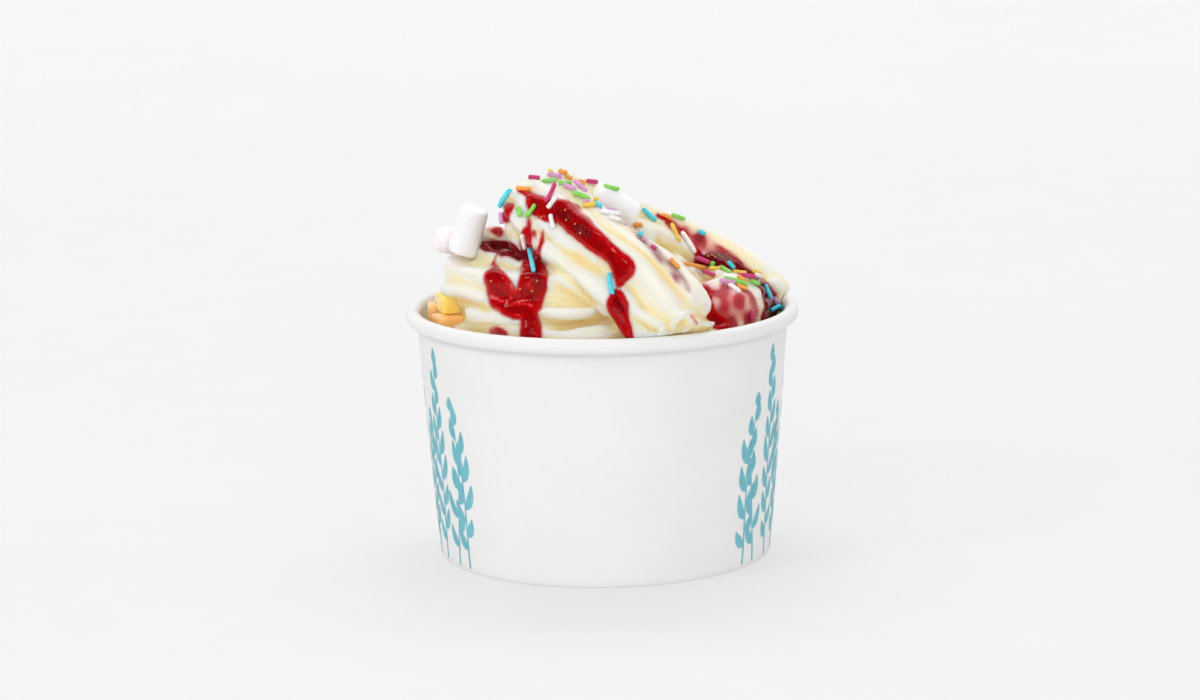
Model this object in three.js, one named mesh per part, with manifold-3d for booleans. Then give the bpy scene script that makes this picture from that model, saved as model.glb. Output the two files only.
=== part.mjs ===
// A paper dessert cup of soft frozen yogurt with sauce, sprinkles, marshmallows and fruit.
// Millimetres, +Z up. The origin is the centre of the circle that the cup stands on.
import * as THREE from 'three';
import { mergeVertices } from 'three/addons/utils/BufferGeometryUtils.js';
import Module from 'manifold-3d';

const wasm = await Module();
wasm.setup();

// Driving dimensions
const cupHeight = 61;
const rimRadius = 48;
const rimRollWidth = 3.5;
const rimRollHeight = 3.8;
const footRadius = 40.8;
const wallThickness = 0.8;
const recessHeight = 5.5;
const baseThickness = 0.8;
const gap = 0.3;
const cupSegments = 60;
const ribCount = 6;
const ribDepth = 0.12;
const marshmallowRadius = 3.25;
const marshmallowLength = 12.3;
const sprinkleRadius = 0.62;
const sprinkleCount = 50;
const viewTilt = THREE.MathUtils.degToRad(11);

const wallTopRadius = rimRadius - rimRollWidth + wallThickness;
const wallTop = cupHeight - rimRollHeight;
const wallSlope = (wallTopRadius - footRadius) / wallTop;

// Radius of the cup's outer wall at a height
function wallRadius(z) {
  return footRadius + wallSlope * z;
}

// Radius of the cup's inner wall at a height
function innerRadius(z) {
  return wallRadius(z) - wallThickness;
}

// Solids and meshes
function toSolid(geometry) {
  const bare = geometry.index ? geometry.toNonIndexed() : geometry.clone();
  bare.deleteAttribute('normal');
  bare.deleteAttribute('uv');
  const merged = mergeVertices(bare, 1e-4);
  return new wasm.Manifold(new wasm.Mesh({
    numProp: 3,
    vertProperties: new Float32Array(merged.attributes.position.array),
    triVerts: new Uint32Array(merged.index.array),
  }));
}

function toGeometry(solid) {
  const mesh = solid.getMesh();
  const geometry = new THREE.BufferGeometry();
  geometry.setAttribute('position', new THREE.BufferAttribute(mesh.vertProperties, 3));
  geometry.setIndex(new THREE.BufferAttribute(mesh.triVerts, 1));
  geometry.computeVertexNormals();
  return geometry;
}

function material(color, roughness) {
  return new THREE.MeshStandardMaterial({ color, roughness, metalness: 0 });
}

const paper = material(0xf3f3f2, 0.6);
const yogurtCream = material(0xf6e6bf, 0.35);
const marshmallowWhite = material(0xf6f4f4, 0.9);
const marshmallowPink = material(0xf3dfe4, 0.9);
const mangoYellow = material(0xf7c948, 0.3);
const peachOrange = material(0xf2a65e, 0.3);

function named(name, solid, look) {
  const mesh = new THREE.Mesh(toGeometry(solid), look);
  mesh.name = name;
  return mesh;
}

// A solid of revolution from [radius, height] pairs, listed anticlockwise
function turned(profile, segments = cupSegments) {
  const points = profile.map(([radius, height]) => new THREE.Vector2(radius, height));
  const geometry = new THREE.LatheGeometry(points, segments);
  geometry.rotateX(Math.PI / 2);
  const solid = toSolid(geometry);
  return solid.volume() > 0 ? solid : toSolid(geometry.scale(-1, 1, 1));
}

// Outline of the rolled rim between two angles, grown by a margin
function rimRollArc(from, to, steps, grow = 0) {
  const centreRadius = rimRadius - rimRollWidth / 2;
  const centreHeight = cupHeight - rimRollHeight / 2;
  const points = [];
  for (let i = 0; i <= steps; i++) {
    const angle = from + (i / steps) * (to - from);
    points.push([
      centreRadius + (rimRollWidth / 2 + grow) * Math.cos(angle),
      centreHeight + (rimRollHeight / 2 + grow) * Math.sin(angle),
    ]);
  }
  return points;
}

// Cup wall: cone, rolled rim, and a foot folded inwards round the base's skirt
function cupWall() {
  const foldInner = footRadius - 3 * wallThickness - 2 * gap;
  const foldHeight = recessHeight - 1.2;
  const skirtSlot = wallThickness + 2 * gap;
  const profile = [
    [foldInner, 0],
    [wallRadius(0), 0],
    [wallRadius(wallTop), wallTop],
    ...rimRollArc(-Math.PI / 2, Math.PI, 9),
    [innerRadius(wallTop - 1), wallTop - 1],
    [innerRadius(wallThickness), wallThickness],
    [innerRadius(wallThickness) - skirtSlot, wallThickness],
    [foldInner + wallThickness, foldHeight],
    [foldInner, foldHeight],
  ];
  profile.push(profile[0]);
  return turned(profile);
}

// Cup base: a raised disc whose skirt sits in the folded foot
function cupBase() {
  const bottom = wallThickness + gap;
  const outer = (z) => innerRadius(z) - gap;
  const top = recessHeight + baseThickness;
  return turned([
    [0, recessHeight],
    [outer(recessHeight) - wallThickness, recessHeight],
    [outer(bottom) - wallThickness, bottom],
    [outer(bottom), bottom],
    [outer(top), top],
    [0, top],
  ]);
}

// A soft rope along a curve, with ribs as a star nozzle leaves them and rounded ends.
// Each ring is an ellipse whose radius swings by ribDepth, ribCount times round.
function rope(curve, options) {
  const { width, height, steps, sides = 18, phase = 0, twist = 0, taper = 0 } = options;
  const geometry = new THREE.CylinderGeometry(1, 1, 1, sides, steps);
  const position = geometry.attributes.position;
  const length = curve.getLength();
  const up = options.up ?? new THREE.Vector3(0, 0, 1);
  const tangent = new THREE.Vector3();
  const side = new THREE.Vector3();
  const normal = new THREE.Vector3();
  const point = new THREE.Vector3();
  for (let i = 0; i < position.count; i++) {
    const s = 0.5 - position.getY(i);
    const t = s - Math.sin(2 * Math.PI * s) * 0.1;
    const around = Math.atan2(position.getZ(i), position.getX(i));
    const angle = around + phase + twist * t;
    const reach = Math.hypot(position.getX(i), position.getZ(i));
    const endDistance = Math.min(t, 1 - t) * length;
    const near = 1 - Math.min(1, endDistance / Math.min(width, height));
    const cap = 0.3 + 0.7 * Math.sqrt(1 - near * near);
    const rib = 1 + ribDepth * Math.cos(ribCount * around);
    const scale = reach * cap * rib * (1 - taper * t);
    curve.getPointAt(t, point);
    curve.getTangentAt(t, tangent);
    side.crossVectors(tangent, up).normalize();
    normal.crossVectors(side, tangent);
    point.addScaledVector(side, Math.cos(angle) * width * scale);
    point.addScaledVector(normal, Math.sin(angle) * height * scale);
    position.setXYZ(i, point.x, point.y, point.z);
  }
  const solid = toSolid(geometry);
  return solid.volume() > 0 ? solid : toSolid(flipped(geometry));
}

function flipped(geometry) {
  const index = geometry.index.array;
  for (let i = 0; i < index.length; i += 3) {
    [index[i], index[i + 1]] = [index[i + 1], index[i]];
  }
  return geometry;
}

function smoothPath(points) {
  return new THREE.CatmullRomCurve3(points.map(([x, y, z]) => new THREE.Vector3(x, y, z)));
}

// A level turn of rope inside the cup, drawn inwards over its last third.
// Radius and height in millimetres, angles in degrees.
function coilPath(radius, startAngle, endAngle, startHeight, endHeight, drawIn = 0) {
  const count = 14;
  const points = [];
  for (let i = 0; i <= count; i++) {
    const share = i / count;
    const angle = THREE.MathUtils.degToRad(startAngle + (endAngle - startAngle) * share);
    const height = startHeight + (endHeight - startHeight) * share;
    const reach = radius - drawIn * Math.max(0, 3 * share - 2) ** 2;
    points.push([reach * Math.cos(angle), reach * Math.sin(angle), height]);
  }
  return smoothPath(points);
}

const paths = {
  lowerCoil: coilPath(30, -75, 285, 52, 55),
  upperCoil: coilPath(29.5, 50, 290, 64, 66, 11),
  front: smoothPath([
    [-18, -3, 87], [-9.5, -14, 81], [-1, -24, 75], [10.3, -31, 66.7], [18.3, -33.5, 60.5], [23, -31, 55],
  ]),
  back: smoothPath([[42.3, 4, 56.5], [34, 13, 61.5], [18, 16, 69], [3, 13, 75.5], [-10, 6, 82.5], [-17, 0, 85.5]]),
  fold: smoothPath([[-14, -5, 88], [-20, -9, 86], [-20.8, -13, 80.5], [-18.5, -17, 75]]),
  mound: smoothPath([[12, -20, 54], [24, -19, 60.5], [31, -12, 61.5], [30, -2, 60], [20, 8, 57]]),
};

// The yogurt's ropes over the filled cup
function yogurtRopes() {
  const parts = [
    rope(paths.lowerCoil, { width: 12.5, height: 9.5, steps: 30, sides: 12, phase: -0.25 }),
    rope(paths.upperCoil, { width: 10.6, height: 9.8, steps: 32, phase: -0.26 }),
    rope(paths.front, {
      width: 10, height: 9.5, steps: 20, sides: 24, phase: 0.26, twist: -0.5, taper: -0.2,
    }),
    rope(paths.back, { width: 9.5, height: 9.5, steps: 18, sides: 18, phase: 0.5 }),
    rope(paths.fold, { width: 4.6, height: 5, steps: 10, sides: 12, taper: 0.15, up: new THREE.Vector3(1, 0, 0) }),
    rope(paths.mound, { width: 8, height: 8, steps: 16, sides: 12, phase: 0.5 }),
  ];
  const dome = new THREE.SphereGeometry(3, 10, 8).translate(10.5, 5, 76.5);
  parts.push(toSolid(dome));
  return parts.reduce((sum, part) => sum.add(part));
}

// What fills the cup under the ropes
function filling() {
  const floor = recessHeight + baseThickness + gap;
  return turned([
    [0, floor],
    [innerRadius(floor) - gap, floor],
    [innerRadius(50) - gap, 50],
    [32, 58],
    [20, 72],
    [0, 76],
  ], 40);
}

// The room that the cup wall and its rim take up, grown by the gap
function cupRoom() {
  const margin = 1.5 * gap;
  const room = [
    [innerRadius(0) - margin, -1],
    [80, -1],
    [80, cupHeight + margin],
    ...rimRollArc(Math.PI / 2, Math.PI, 3, margin),
  ];
  room.push(room[0]);
  return turned(room);
}

// Marshmallow: a short cylinder with rounded ends, at a centre and along a direction
function marshmallow(centre, direction, grow = 0) {
  const radius = marshmallowRadius + grow;
  const half = marshmallowLength / 2 + grow;
  const round = 1.1;
  const profile = [[0, -half]];
  for (const end of [-1, 1]) {
    for (let i = 0; i <= 2; i++) {
      const angle = (end < 0 ? i : 2 - i) * (Math.PI / 4);
      profile.push([radius - round + round * Math.sin(angle), end * (half - round + round * Math.cos(angle))]);
    }
  }
  profile.push([0, half]);
  const turn = new THREE.Quaternion().setFromUnitVectors(
    new THREE.Vector3(0, 0, 1), new THREE.Vector3(...direction).normalize());
  const matrix = new THREE.Matrix4().compose(
    new THREE.Vector3(...centre), turn, new THREE.Vector3(1, 1, 1));
  return turned(profile, 16).transform(matrix.toArray());
}

// Fruit cube with bevelled edges, turned about the upright
function fruitCube(centre, size, turnDegrees, grow = 0) {
  const bevel = 0.8;
  const [width, depth, height] = size.map((value) => value + 2 * grow - 2 * bevel);
  const shape = new THREE.Shape();
  shape.moveTo(-width / 2, -depth / 2);
  shape.lineTo(width / 2, -depth / 2);
  shape.lineTo(width / 2, depth / 2);
  shape.lineTo(-width / 2, depth / 2);
  shape.closePath();
  const geometry = new THREE.ExtrudeGeometry(shape, {
    depth: height, bevelEnabled: true, bevelSize: bevel, bevelThickness: bevel, bevelSegments: 2,
  });
  geometry.translate(0, 0, -height / 2);
    geometry.rotateZ(THREE.MathUtils.degToRad(turnDegrees));
  geometry.translate(...centre);
  return toSolid(geometry);
}

const toppings = {
  marshmallow_left: (grow) => marshmallow([-31.7, -6, 80.5], [0.33, -0.1, 1], grow),
  marshmallow_pink: (grow) => marshmallow([-34.6, 3.4, 76.6], [1, 0.35, -0.1], grow),
  marshmallow_right: (grow) => marshmallow([4.6, 3, 85], [0.86, 0.1, -0.5], grow),
};
const fruit = {
  fruit_mango: (grow) => fruitCube([-35.6, -11.5, 64.2], [7, 7.5, 4.4], 18, grow),
  fruit_peach: (grow) => fruitCube([-36, -12.8, 57], [7.5, 8.5, 7.6], 20, grow),
  fruit_orange: (grow) => fruitCube([-39.8, -2.2, 58.6], [5.6, 7.6, 7.4], 3, grow),
};

// A reader of the surface: where a line of sight from the front meets it
function surfaceReader(solid) {
  const mesh = new THREE.Mesh(toGeometry(solid), yogurtCream);
  mesh.material.side = THREE.DoubleSide;
  const raycaster = new THREE.Raycaster();
  const sight = new THREE.Vector3(0, Math.cos(viewTilt), -Math.sin(viewTilt));
  const down = new THREE.Vector3(0, 0, -1);
  const meet = (origin, direction) => {
    raycaster.set(origin, direction);
    const hits = raycaster.intersectObject(mesh);
    return hits.length ? { point: hits[0].point, normal: hits[0].face.normal } : null;
  };
  return {
    fromFront: (x, z) => meet(new THREE.Vector3(x, 0, z).addScaledVector(sight, -200), sight),
    fromAbove: (x, y) => meet(new THREE.Vector3(x, y, 200), down),
  };
}

// A thick run of sauce: a flat band along front-view points [x, z], laid on the surface
// as far as it goes without a jump in depth, or null where that is too short
function sauceRun(surface, points, halfWidths) {
  const line = new THREE.CatmullRomCurve3(points.map(([x, z]) => new THREE.Vector3(x, 0, z)));
  const steps = 7;
  const hits = [];
  for (let i = 0; i <= steps; i++) {
    const { x, z } = line.getPoint(i / steps);
    const hit = surface.fromFront(x, z);
    const last = hits.at(-1);
    const joined = !last || (hit && hit.point.distanceTo(last.point) < 4);
    if (hit && joined) hits.push({ ...hit, share: i / steps });
  }
  if (hits.length < 3) return null;
  const geometry = new THREE.CylinderGeometry(1, 1, 1, 7, hits.length - 1);
  const position = geometry.attributes.position;
  const [startWidth, endWidth] = halfWidths;
  for (let i = 0; i < position.count; i++) {
    const row = Math.round((0.5 - position.getY(i)) * (hits.length - 1));
    const { point, normal, share } = hits[row];
    const before = hits[Math.max(row - 1, 0)].point;
    const after = hits[Math.min(row + 1, hits.length - 1)].point;
    const along = after.clone().sub(before).normalize();
    const across = new THREE.Vector3().crossVectors(normal, along).normalize();
    const ends = Math.sqrt(1 - (2 * share - 1) ** 6) * 0.85 + 0.15;
    const half = (startWidth + (endWidth - startWidth) * share) * ends;
    const place = point.clone();
    place.addScaledVector(across, position.getX(i) * half);
    place.addScaledVector(normal, position.getZ(i) * 1.1);
    position.setXYZ(i, place.x, place.y, place.z);
  }
  const solid = toSolid(geometry);
  return solid.volume() > 0 ? solid : toSolid(flipped(geometry));
}

const sauceRuns = [
  { points: [[-20.5, 86.5], [-17, 86], [-12, 84.8]], halfWidths: [2.8, 4.2] },
  { points: [[-11, 84.5], [-6, 81], [-0.5, 76.5], [4, 70]], halfWidths: [2.6, 4.2] },
  { points: [[-18.2, 80.5], [-17.2, 76], [-16.8, 73]], halfWidths: [1.7, 2.4] },
  { points: [[-16.2, 68], [-15.4, 65], [-15.8, 62], [-17, 58.5]], halfWidths: [3.2, 3] },
  { points: [[-28, 67], [-25.5, 63], [-21, 60.5]], halfWidths: [2.6, 3.2] },
  { points: [[4, 64], [4, 60], [5.6, 55.5]], halfWidths: [2.8, 1.6] },
  { points: [[27, 63], [31, 62], [35, 60]], halfWidths: [1.8, 1.8] },
];

// A seeded draw between 0 and 1
function draws(seed) {
  let state = seed;
  return () => {
    state = (Math.imul(state, 1664525) + 1013904223) >>> 0;
    return state / 4294967296;
  };
}

// Sprinkles lie thickest on the peak and along the valley to the right rim
function sprinkles(surface) {
  const draw = draws(20);
  const trail = smoothPath([[-19, -6, 0], [-8, 0, 0], [4, 2, 0], [18, 2, 0], [28, 0, 0], [39, 2, 0]]);
  const solids = [];
  const taken = [];
  for (let tries = 0; tries < 900 && solids.length < sprinkleCount; tries++) {
    const centre = trail.getPoint(draw());
    const x = centre.x + (draw() - 0.5) * 9;
    const y = centre.y + (draw() + draw() - 1) * 13;
    const azimuth = draw() * Math.PI * 2;
    const length = 4.2 + draw() * 2.2;
    const hit = surface.fromAbove(x, y);
    if (!hit || Math.hypot(x, y) > innerRadius(wallTop) - 5 || hit.normal.z < 0.45) continue;
    if (taken.some((other) => other.distanceTo(hit.point) < 3.4)) continue;
    taken.push(hit.point);
    const direction = new THREE.Vector3(Math.cos(azimuth), Math.sin(azimuth), 0);
    direction.projectOnPlane(hit.normal).normalize();
    const geometry = new THREE.CapsuleGeometry(sprinkleRadius, length - 2 * sprinkleRadius, 1, 5);
    geometry.applyQuaternion(new THREE.Quaternion().setFromUnitVectors(
      new THREE.Vector3(0, 1, 0), direction));
    const seat = hit.point.clone().addScaledVector(hit.normal, sprinkleRadius * 0.35);
    geometry.translate(seat.x, seat.y, seat.z);
    solids.push(toSolid(geometry));
  }
  return solids;
}

function frozenYogurt() {
  let yogurt = filling().add(yogurtRopes());
  const surface = surfaceReader(yogurt);
  const runs = sauceRuns
    .map(({ points, halfWidths }) => sauceRun(surface, points, halfWidths))
    .filter((run) => run !== null);
  const scattered = sprinkles(surface);
  yogurt = [...runs, ...scattered].reduce((sum, part) => sum.add(part), yogurt);
  yogurt = yogurt.subtract(cupRoom());
  for (const shape of Object.values({ ...toppings, ...fruit })) {
    yogurt = yogurt.subtract(shape(gap));
  }
  const pieces = yogurt.decompose();
  return pieces.reduce((largest, piece) => (piece.volume() > largest.volume() ? piece : largest));
}

function frozenYogurtCup() {
  const group = new THREE.Group();
  group.add(named('cup_wall', cupWall(), paper));
  group.add(named('cup_base', cupBase(), paper));
  group.add(named('frozen_yogurt', frozenYogurt(), yogurtCream));
  const looks = {
    marshmallow_left: marshmallowWhite,
    marshmallow_pink: marshmallowPink,
    marshmallow_right: marshmallowWhite,
    fruit_mango: mangoYellow,
    fruit_peach: peachOrange,
    fruit_orange: peachOrange,
  };
  for (const [name, shape] of Object.entries({ ...toppings, ...fruit })) {
    group.add(named(name, shape(0), looks[name]));
  }
  return group;
}

export default frozenYogurtCup();
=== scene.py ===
import math
import bpy
import bmesh
import numpy as np
from mathutils import Matrix, Vector
from mathutils.bvhtree import BVHTree


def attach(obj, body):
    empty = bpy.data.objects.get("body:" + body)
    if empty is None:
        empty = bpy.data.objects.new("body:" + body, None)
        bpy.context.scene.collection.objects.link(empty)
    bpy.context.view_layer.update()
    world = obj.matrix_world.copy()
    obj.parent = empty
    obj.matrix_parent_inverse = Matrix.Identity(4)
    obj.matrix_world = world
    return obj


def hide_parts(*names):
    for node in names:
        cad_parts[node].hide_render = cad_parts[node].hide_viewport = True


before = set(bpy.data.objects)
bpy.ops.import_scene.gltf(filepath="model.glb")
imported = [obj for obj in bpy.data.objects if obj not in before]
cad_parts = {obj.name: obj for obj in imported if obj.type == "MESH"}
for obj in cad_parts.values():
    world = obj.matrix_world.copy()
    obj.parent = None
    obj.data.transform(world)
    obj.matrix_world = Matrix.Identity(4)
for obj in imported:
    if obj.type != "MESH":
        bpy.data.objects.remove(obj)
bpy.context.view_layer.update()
mm = 0.001
dice = np.random.default_rng(11)

# Camera first, because sauce and sprinkles are placed by what it sees
view = {
    "distance": 0.795,  # metres in front of the cup's axis
    "side": -0.0007,  # metres to the right of it
    "height": 0.2052,
    "tiltDegrees": 11.09,  # looking down
    "rollDegrees": -0.88,
    "lens": 99.0,  # millimetres on a 36 mm sensor
    "imageWidth": 1200,
    "imageHeight": 700,
}


def link(thing):
    bpy.context.scene.collection.objects.link(thing)


def addCamera():
    data = bpy.data.cameras.new("photoCamera")
    data.lens = view["lens"]
    data.sensor_width = 36.0
    data.clip_start = 0.05
    camera = bpy.data.objects.new("photoCamera", data)
    link(camera)
    look = Matrix.Rotation(math.radians(90 - view["tiltDegrees"]), 4, "X")
    roll = Matrix.Rotation(math.radians(view["rollDegrees"]), 4, "Z")
    place = Matrix.Translation((view["side"], -view["distance"], view["height"]))
    camera.matrix_world = place @ look @ roll
    bpy.context.scene.camera = camera
    return camera.matrix_world.copy()


cameraPlace = addCamera()
focalPixels = view["lens"] / 36.0 * view["imageWidth"]


# Where points in mm land in the photo's 1200 by 700 frame
def toPixels(points):
    inverse = np.array(cameraPlace.inverted())
    local = points * mm @ inverse[:3, :3].T + inverse[:3, 3]
    scale = focalPixels / -local[:, 2]
    return np.stack([view["imageWidth"] / 2 + local[:, 0] * scale,
                     view["imageHeight"] / 2 - local[:, 1] * scale], 1)


# The line of sight through a pixel, in mm
def sightLine(x, y):
    local = Vector(((x - view["imageWidth"] / 2) / focalPixels,
                    (view["imageHeight"] / 2 - y) / focalPixels, -1.0))
    direction = (cameraPlace.to_3x3() @ local).normalized()
    return cameraPlace.translation / mm, direction


# Mesh tools
def gridQuads(rows, columns, closeColumns=True):
    across = np.arange(columns if closeColumns else columns - 1)
    down = np.arange(rows - 1)[:, None]
    a = down * columns + across
    b = down * columns + (across + 1) % columns
    return np.stack([a, b, b + columns, a + columns], -1).reshape(-1, 4)


def joinGrids(grids):
    points, quads, start = [], [], 0
    for gridPoints, gridFaces in grids:
        points.append(gridPoints.reshape(-1, 3))
        quads.append(gridFaces + start)
        start += len(points[-1])
    return np.concatenate(points), np.concatenate(quads)


def makeMesh(name, points, quads, weld=False):
    mesh = bpy.data.meshes.new(name)
    mesh.vertices.add(len(points))
    mesh.vertices.foreach_set("co", (points * mm).astype(np.float32).ravel())
    mesh.loops.add(quads.size)
    mesh.loops.foreach_set("vertex_index", quads.astype(np.int32).ravel())
    mesh.polygons.add(len(quads))
    mesh.polygons.foreach_set("loop_start", (np.arange(len(quads)) * quads.shape[1]).astype(np.int32))
    mesh.update(calc_edges=True)
    if weld:
        work = bmesh.new()
        work.from_mesh(mesh)
        bmesh.ops.remove_doubles(work, verts=work.verts, dist=1e-7)
        bmesh.ops.dissolve_degenerate(work, edges=work.edges, dist=1e-8)
        bmesh.ops.recalc_face_normals(work, faces=work.faces)
        work.to_mesh(mesh)
        work.free()
    mesh.polygons.foreach_set("use_smooth", np.ones(len(mesh.polygons), dtype=bool))
    mesh.update()
    return mesh


def movePoints(mesh, points):
    mesh.vertices.foreach_set("co", (points * mm).astype(np.float32).ravel())
    mesh.polygons.foreach_set("use_smooth", np.ones(len(mesh.polygons), dtype=bool))
    mesh.update()


def addPiece(name, mesh, look, replaced=()):
    mesh.materials.clear()
    mesh.materials.append(look)
    piece = bpy.data.objects.new(name, mesh)
    link(piece)
    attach(piece, "root")
    if replaced:
        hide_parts(*replaced)
    return piece


def meshArrays(mesh):
    points = np.empty(len(mesh.vertices) * 3, dtype=np.float32)
    mesh.vertices.foreach_get("co", points)
    normals = np.empty(len(mesh.vertices) * 3, dtype=np.float32)
    mesh.vertex_normals.foreach_get("vector", normals)
    edges = np.empty(len(mesh.edges) * 2, dtype=np.int32)
    mesh.edges.foreach_get("vertices", edges)
    return (points.reshape(-1, 3).astype(float) / mm, normals.reshape(-1, 3).astype(float),
            edges.reshape(-1, 2))


# Each point moves towards the mean of its neighbours, a share each round
def relaxed(values, edges, rounds, share=0.5):
    count = len(values)
    ends = np.concatenate([edges[:, 0], edges[:, 1]])
    others = np.concatenate([edges[:, 1], edges[:, 0]])
    degree = np.maximum(np.bincount(ends, minlength=count), 1)
    values = values.copy()
    for _ in range(rounds):
        for k in range(values.shape[1]):
            mean = np.bincount(ends, weights=values[others, k], minlength=count) / degree
            values[:, k] += share * (mean - values[:, k])
    return values


def storeValue(mesh, name, values):
    layer = mesh.attributes.new(name, "FLOAT", "POINT")
    layer.data.foreach_set("value", values.astype(np.float32))


def storeVector(mesh, name, values):
    layer = mesh.attributes.new(name, "FLOAT_VECTOR", "POINT")
    layer.data.foreach_set("vector", values.astype(np.float32).ravel())


def treeOf(mesh, points):
    polygons = [tuple(p.vertices) for p in mesh.polygons]
    return BVHTree.FromPolygons([Vector(p) for p in points], polygons)


# Eases from 0 at low to 1 at high; low may be the larger
def smoothStep(low, high, value):
    share = np.clip((value - low) / (high - low), 0, 1)
    return share * share * (3 - 2 * share)


# Soft noise between about -1 and 1: a sum of sine waves in seeded directions
def waviness(points, size, seed, waves=10):
    draw = np.random.default_rng(seed)
    total = np.zeros(len(points))
    for _ in range(waves):
        direction = draw.normal(size=3)
        direction /= np.linalg.norm(direction)
        turn = draw.uniform(0, 2 * math.pi)
        stretch = draw.uniform(0.6, 1.6)
        total += np.sin(points @ direction * (2 * math.pi * stretch / size) + turn)
    return total / math.sqrt(waves)


# Shader tools
def addNode(tree, kind, inputs=None, **settings):
    node = tree.nodes.new(kind)
    for key, value in settings.items():
        setattr(node, key, value)
    for key, value in (inputs or {}).items():
        if isinstance(value, bpy.types.NodeSocket):
            tree.links.new(value, node.inputs[key])
        else:
            node.inputs[key].default_value = value
    return node


def newGroup(name, inputs, outputs):
    group = bpy.data.node_groups.new(name, "ShaderNodeTree")
    kinds = {"value": "NodeSocketFloat", "vector": "NodeSocketVector", "color": "NodeSocketColor"}
    for label, kind in inputs.items():
        group.interface.new_socket(label, in_out="INPUT", socket_type=kinds[kind])
    for label, kind in outputs.items():
        group.interface.new_socket(label, in_out="OUTPUT", socket_type=kinds[kind])
    return group, group.nodes.new("NodeGroupInput"), group.nodes.new("NodeGroupOutput")


# Two noises, one coarse and one fine, mixed to a value around 0.5
def makeGrainGroup():
    group, given, out = newGroup(
        "softGrain", {"Vector": "vector", "Coarse": "value", "Fine": "value", "Share": "value"},
        {"Grain": "value"})
    coarse = addNode(group, "ShaderNodeTexNoise",
                     {"Vector": given.outputs["Vector"], "Scale": given.outputs["Coarse"], "Detail": 3.0})
    fine = addNode(group, "ShaderNodeTexNoise",
                   {"Vector": given.outputs["Vector"], "Scale": given.outputs["Fine"], "Detail": 2.0})
    mixed = addNode(group, "ShaderNodeMix",
                    {"Factor": given.outputs["Share"], "A": coarse.outputs["Fac"],
                     "B": fine.outputs["Fac"]}, data_type="FLOAT")
    group.links.new(mixed.outputs["Result"], out.inputs["Grain"])
    return group


grainGroup = makeGrainGroup()


def newLook(name):
    look = bpy.data.materials.new(name)
    look.use_nodes = True
    tree = look.node_tree
    tree.nodes.clear()
    shader = tree.nodes.new("ShaderNodeBsdfPrincipled")
    output = tree.nodes.new("ShaderNodeOutputMaterial")
    tree.links.new(shader.outputs["BSDF"], output.inputs["Surface"])
    return look, tree, shader


def setInputs(shader, values):
    for key, value in values.items():
        shader.inputs[key].default_value = value


def mapRange(tree, value, fromLow, fromHigh, toLow, toHigh):
    node = addNode(tree, "ShaderNodeMapRange", {"Value": value, "From Min": fromLow, "From Max": fromHigh,
                                                "To Min": toLow, "To Max": toHigh})
    return node.outputs["Result"]


def combine(tree, operation, first, second):
    node = addNode(tree, "ShaderNodeMath", {0: first, 1: second}, operation=operation)
    return node.outputs["Value"]


def placeVector(tree):
    return addNode(tree, "ShaderNodeTexCoord").outputs["Object"]


def grain(tree, vector, coarse, fine, share):
    node = addNode(tree, "ShaderNodeGroup", node_tree=grainGroup)
    tree.links.new(vector, node.inputs["Vector"])
    node.inputs["Coarse"].default_value = coarse
    node.inputs["Fine"].default_value = fine
    node.inputs["Share"].default_value = share
    return node.outputs["Grain"]


def ramp(tree, factor, stops):
    node = addNode(tree, "ShaderNodeValToRGB", {"Fac": factor})
    elements = node.color_ramp.elements
    while len(elements) < len(stops):
        elements.new(0.5)
    for element, (place, color) in zip(elements, stops):
        element.position = place
        element.color = (*color, 1.0)
    return node.outputs["Color"]


def mixColor(tree, factor, first, second):
    node = tree.nodes.new("ShaderNodeMix")
    node.data_type = "RGBA"
    for key, value in ((0, factor), (6, first), (7, second)):
        if isinstance(value, bpy.types.NodeSocket):
            tree.links.new(value, node.inputs[key])
        else:
            node.inputs[key].default_value = value if key == 0 else (*value, 1.0)
    return node.outputs[2]


def attribute(tree, name, output="Fac"):
    return addNode(tree, "ShaderNodeAttribute", attribute_name=name).outputs[output]


def bump(tree, height, strength, distance):
    node = addNode(tree, "ShaderNodeBump", {"Height": height, "Strength": strength, "Distance": distance})
    return node.outputs["Normal"]


# A look of two tones in fine specks, with a relief of the same specks where one is given
def speckledLook(name, scales, low, high, inputs, relief=None):
    look, tree, shader = newLook(name)
    speck = grain(tree, placeVector(tree), *scales)
    tree.links.new(ramp(tree, speck, [low, high]), shader.inputs["Base Color"])
    if relief:
        tree.links.new(bump(tree, speck, *relief), shader.inputs["Normal"])
    setInputs(shader, inputs)
    return look


# Paper cup
cup = {
    "height": 61.0,
    "rimRadius": 48.0,
    "rollWidth": 3.5,
    "rollHeight": 3.8,
    "footRadius": 40.8,
    "paper": 0.8,
    "recess": 5.5,
    "gap": 0.3,
    "around": 256,
    "seamDegrees": 118.0,
    "seamWidth": 6.0,  # mm of overlap at the side seam
    "seamStep": 0.32,
}
wallTop = cup["height"] - cup["rollHeight"]
wallSlope = (cup["rimRadius"] - cup["rollWidth"] + cup["paper"] - cup["footRadius"]) / wallTop


def wallRadius(z):
    return cup["footRadius"] + wallSlope * z


def innerRadius(z):
    return wallRadius(z) - cup["paper"]


def makePaperLook():
    look, tree, shader = newLook("cupPaper")
    place = placeVector(tree)
    fibres = grain(tree, place, 260.0, 1900.0, 0.55)
    tone = grain(tree, place, 22.0, 90.0, 0.3)
    color = ramp(tree, tone, [(0.3, (0.765, 0.763, 0.755)), (0.7, (0.80, 0.798, 0.79))])
    tree.links.new(color, shader.inputs["Base Color"])
    tree.links.new(mapRange(tree, fibres, 0.3, 0.7, 0.42, 0.56), shader.inputs["Roughness"])
    tree.links.new(bump(tree, fibres, 0.18, 0.00005), shader.inputs["Normal"])
    setInputs(shader, {"Coat Weight": 0.08, "Coat Roughness": 0.35})
    return look


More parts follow.
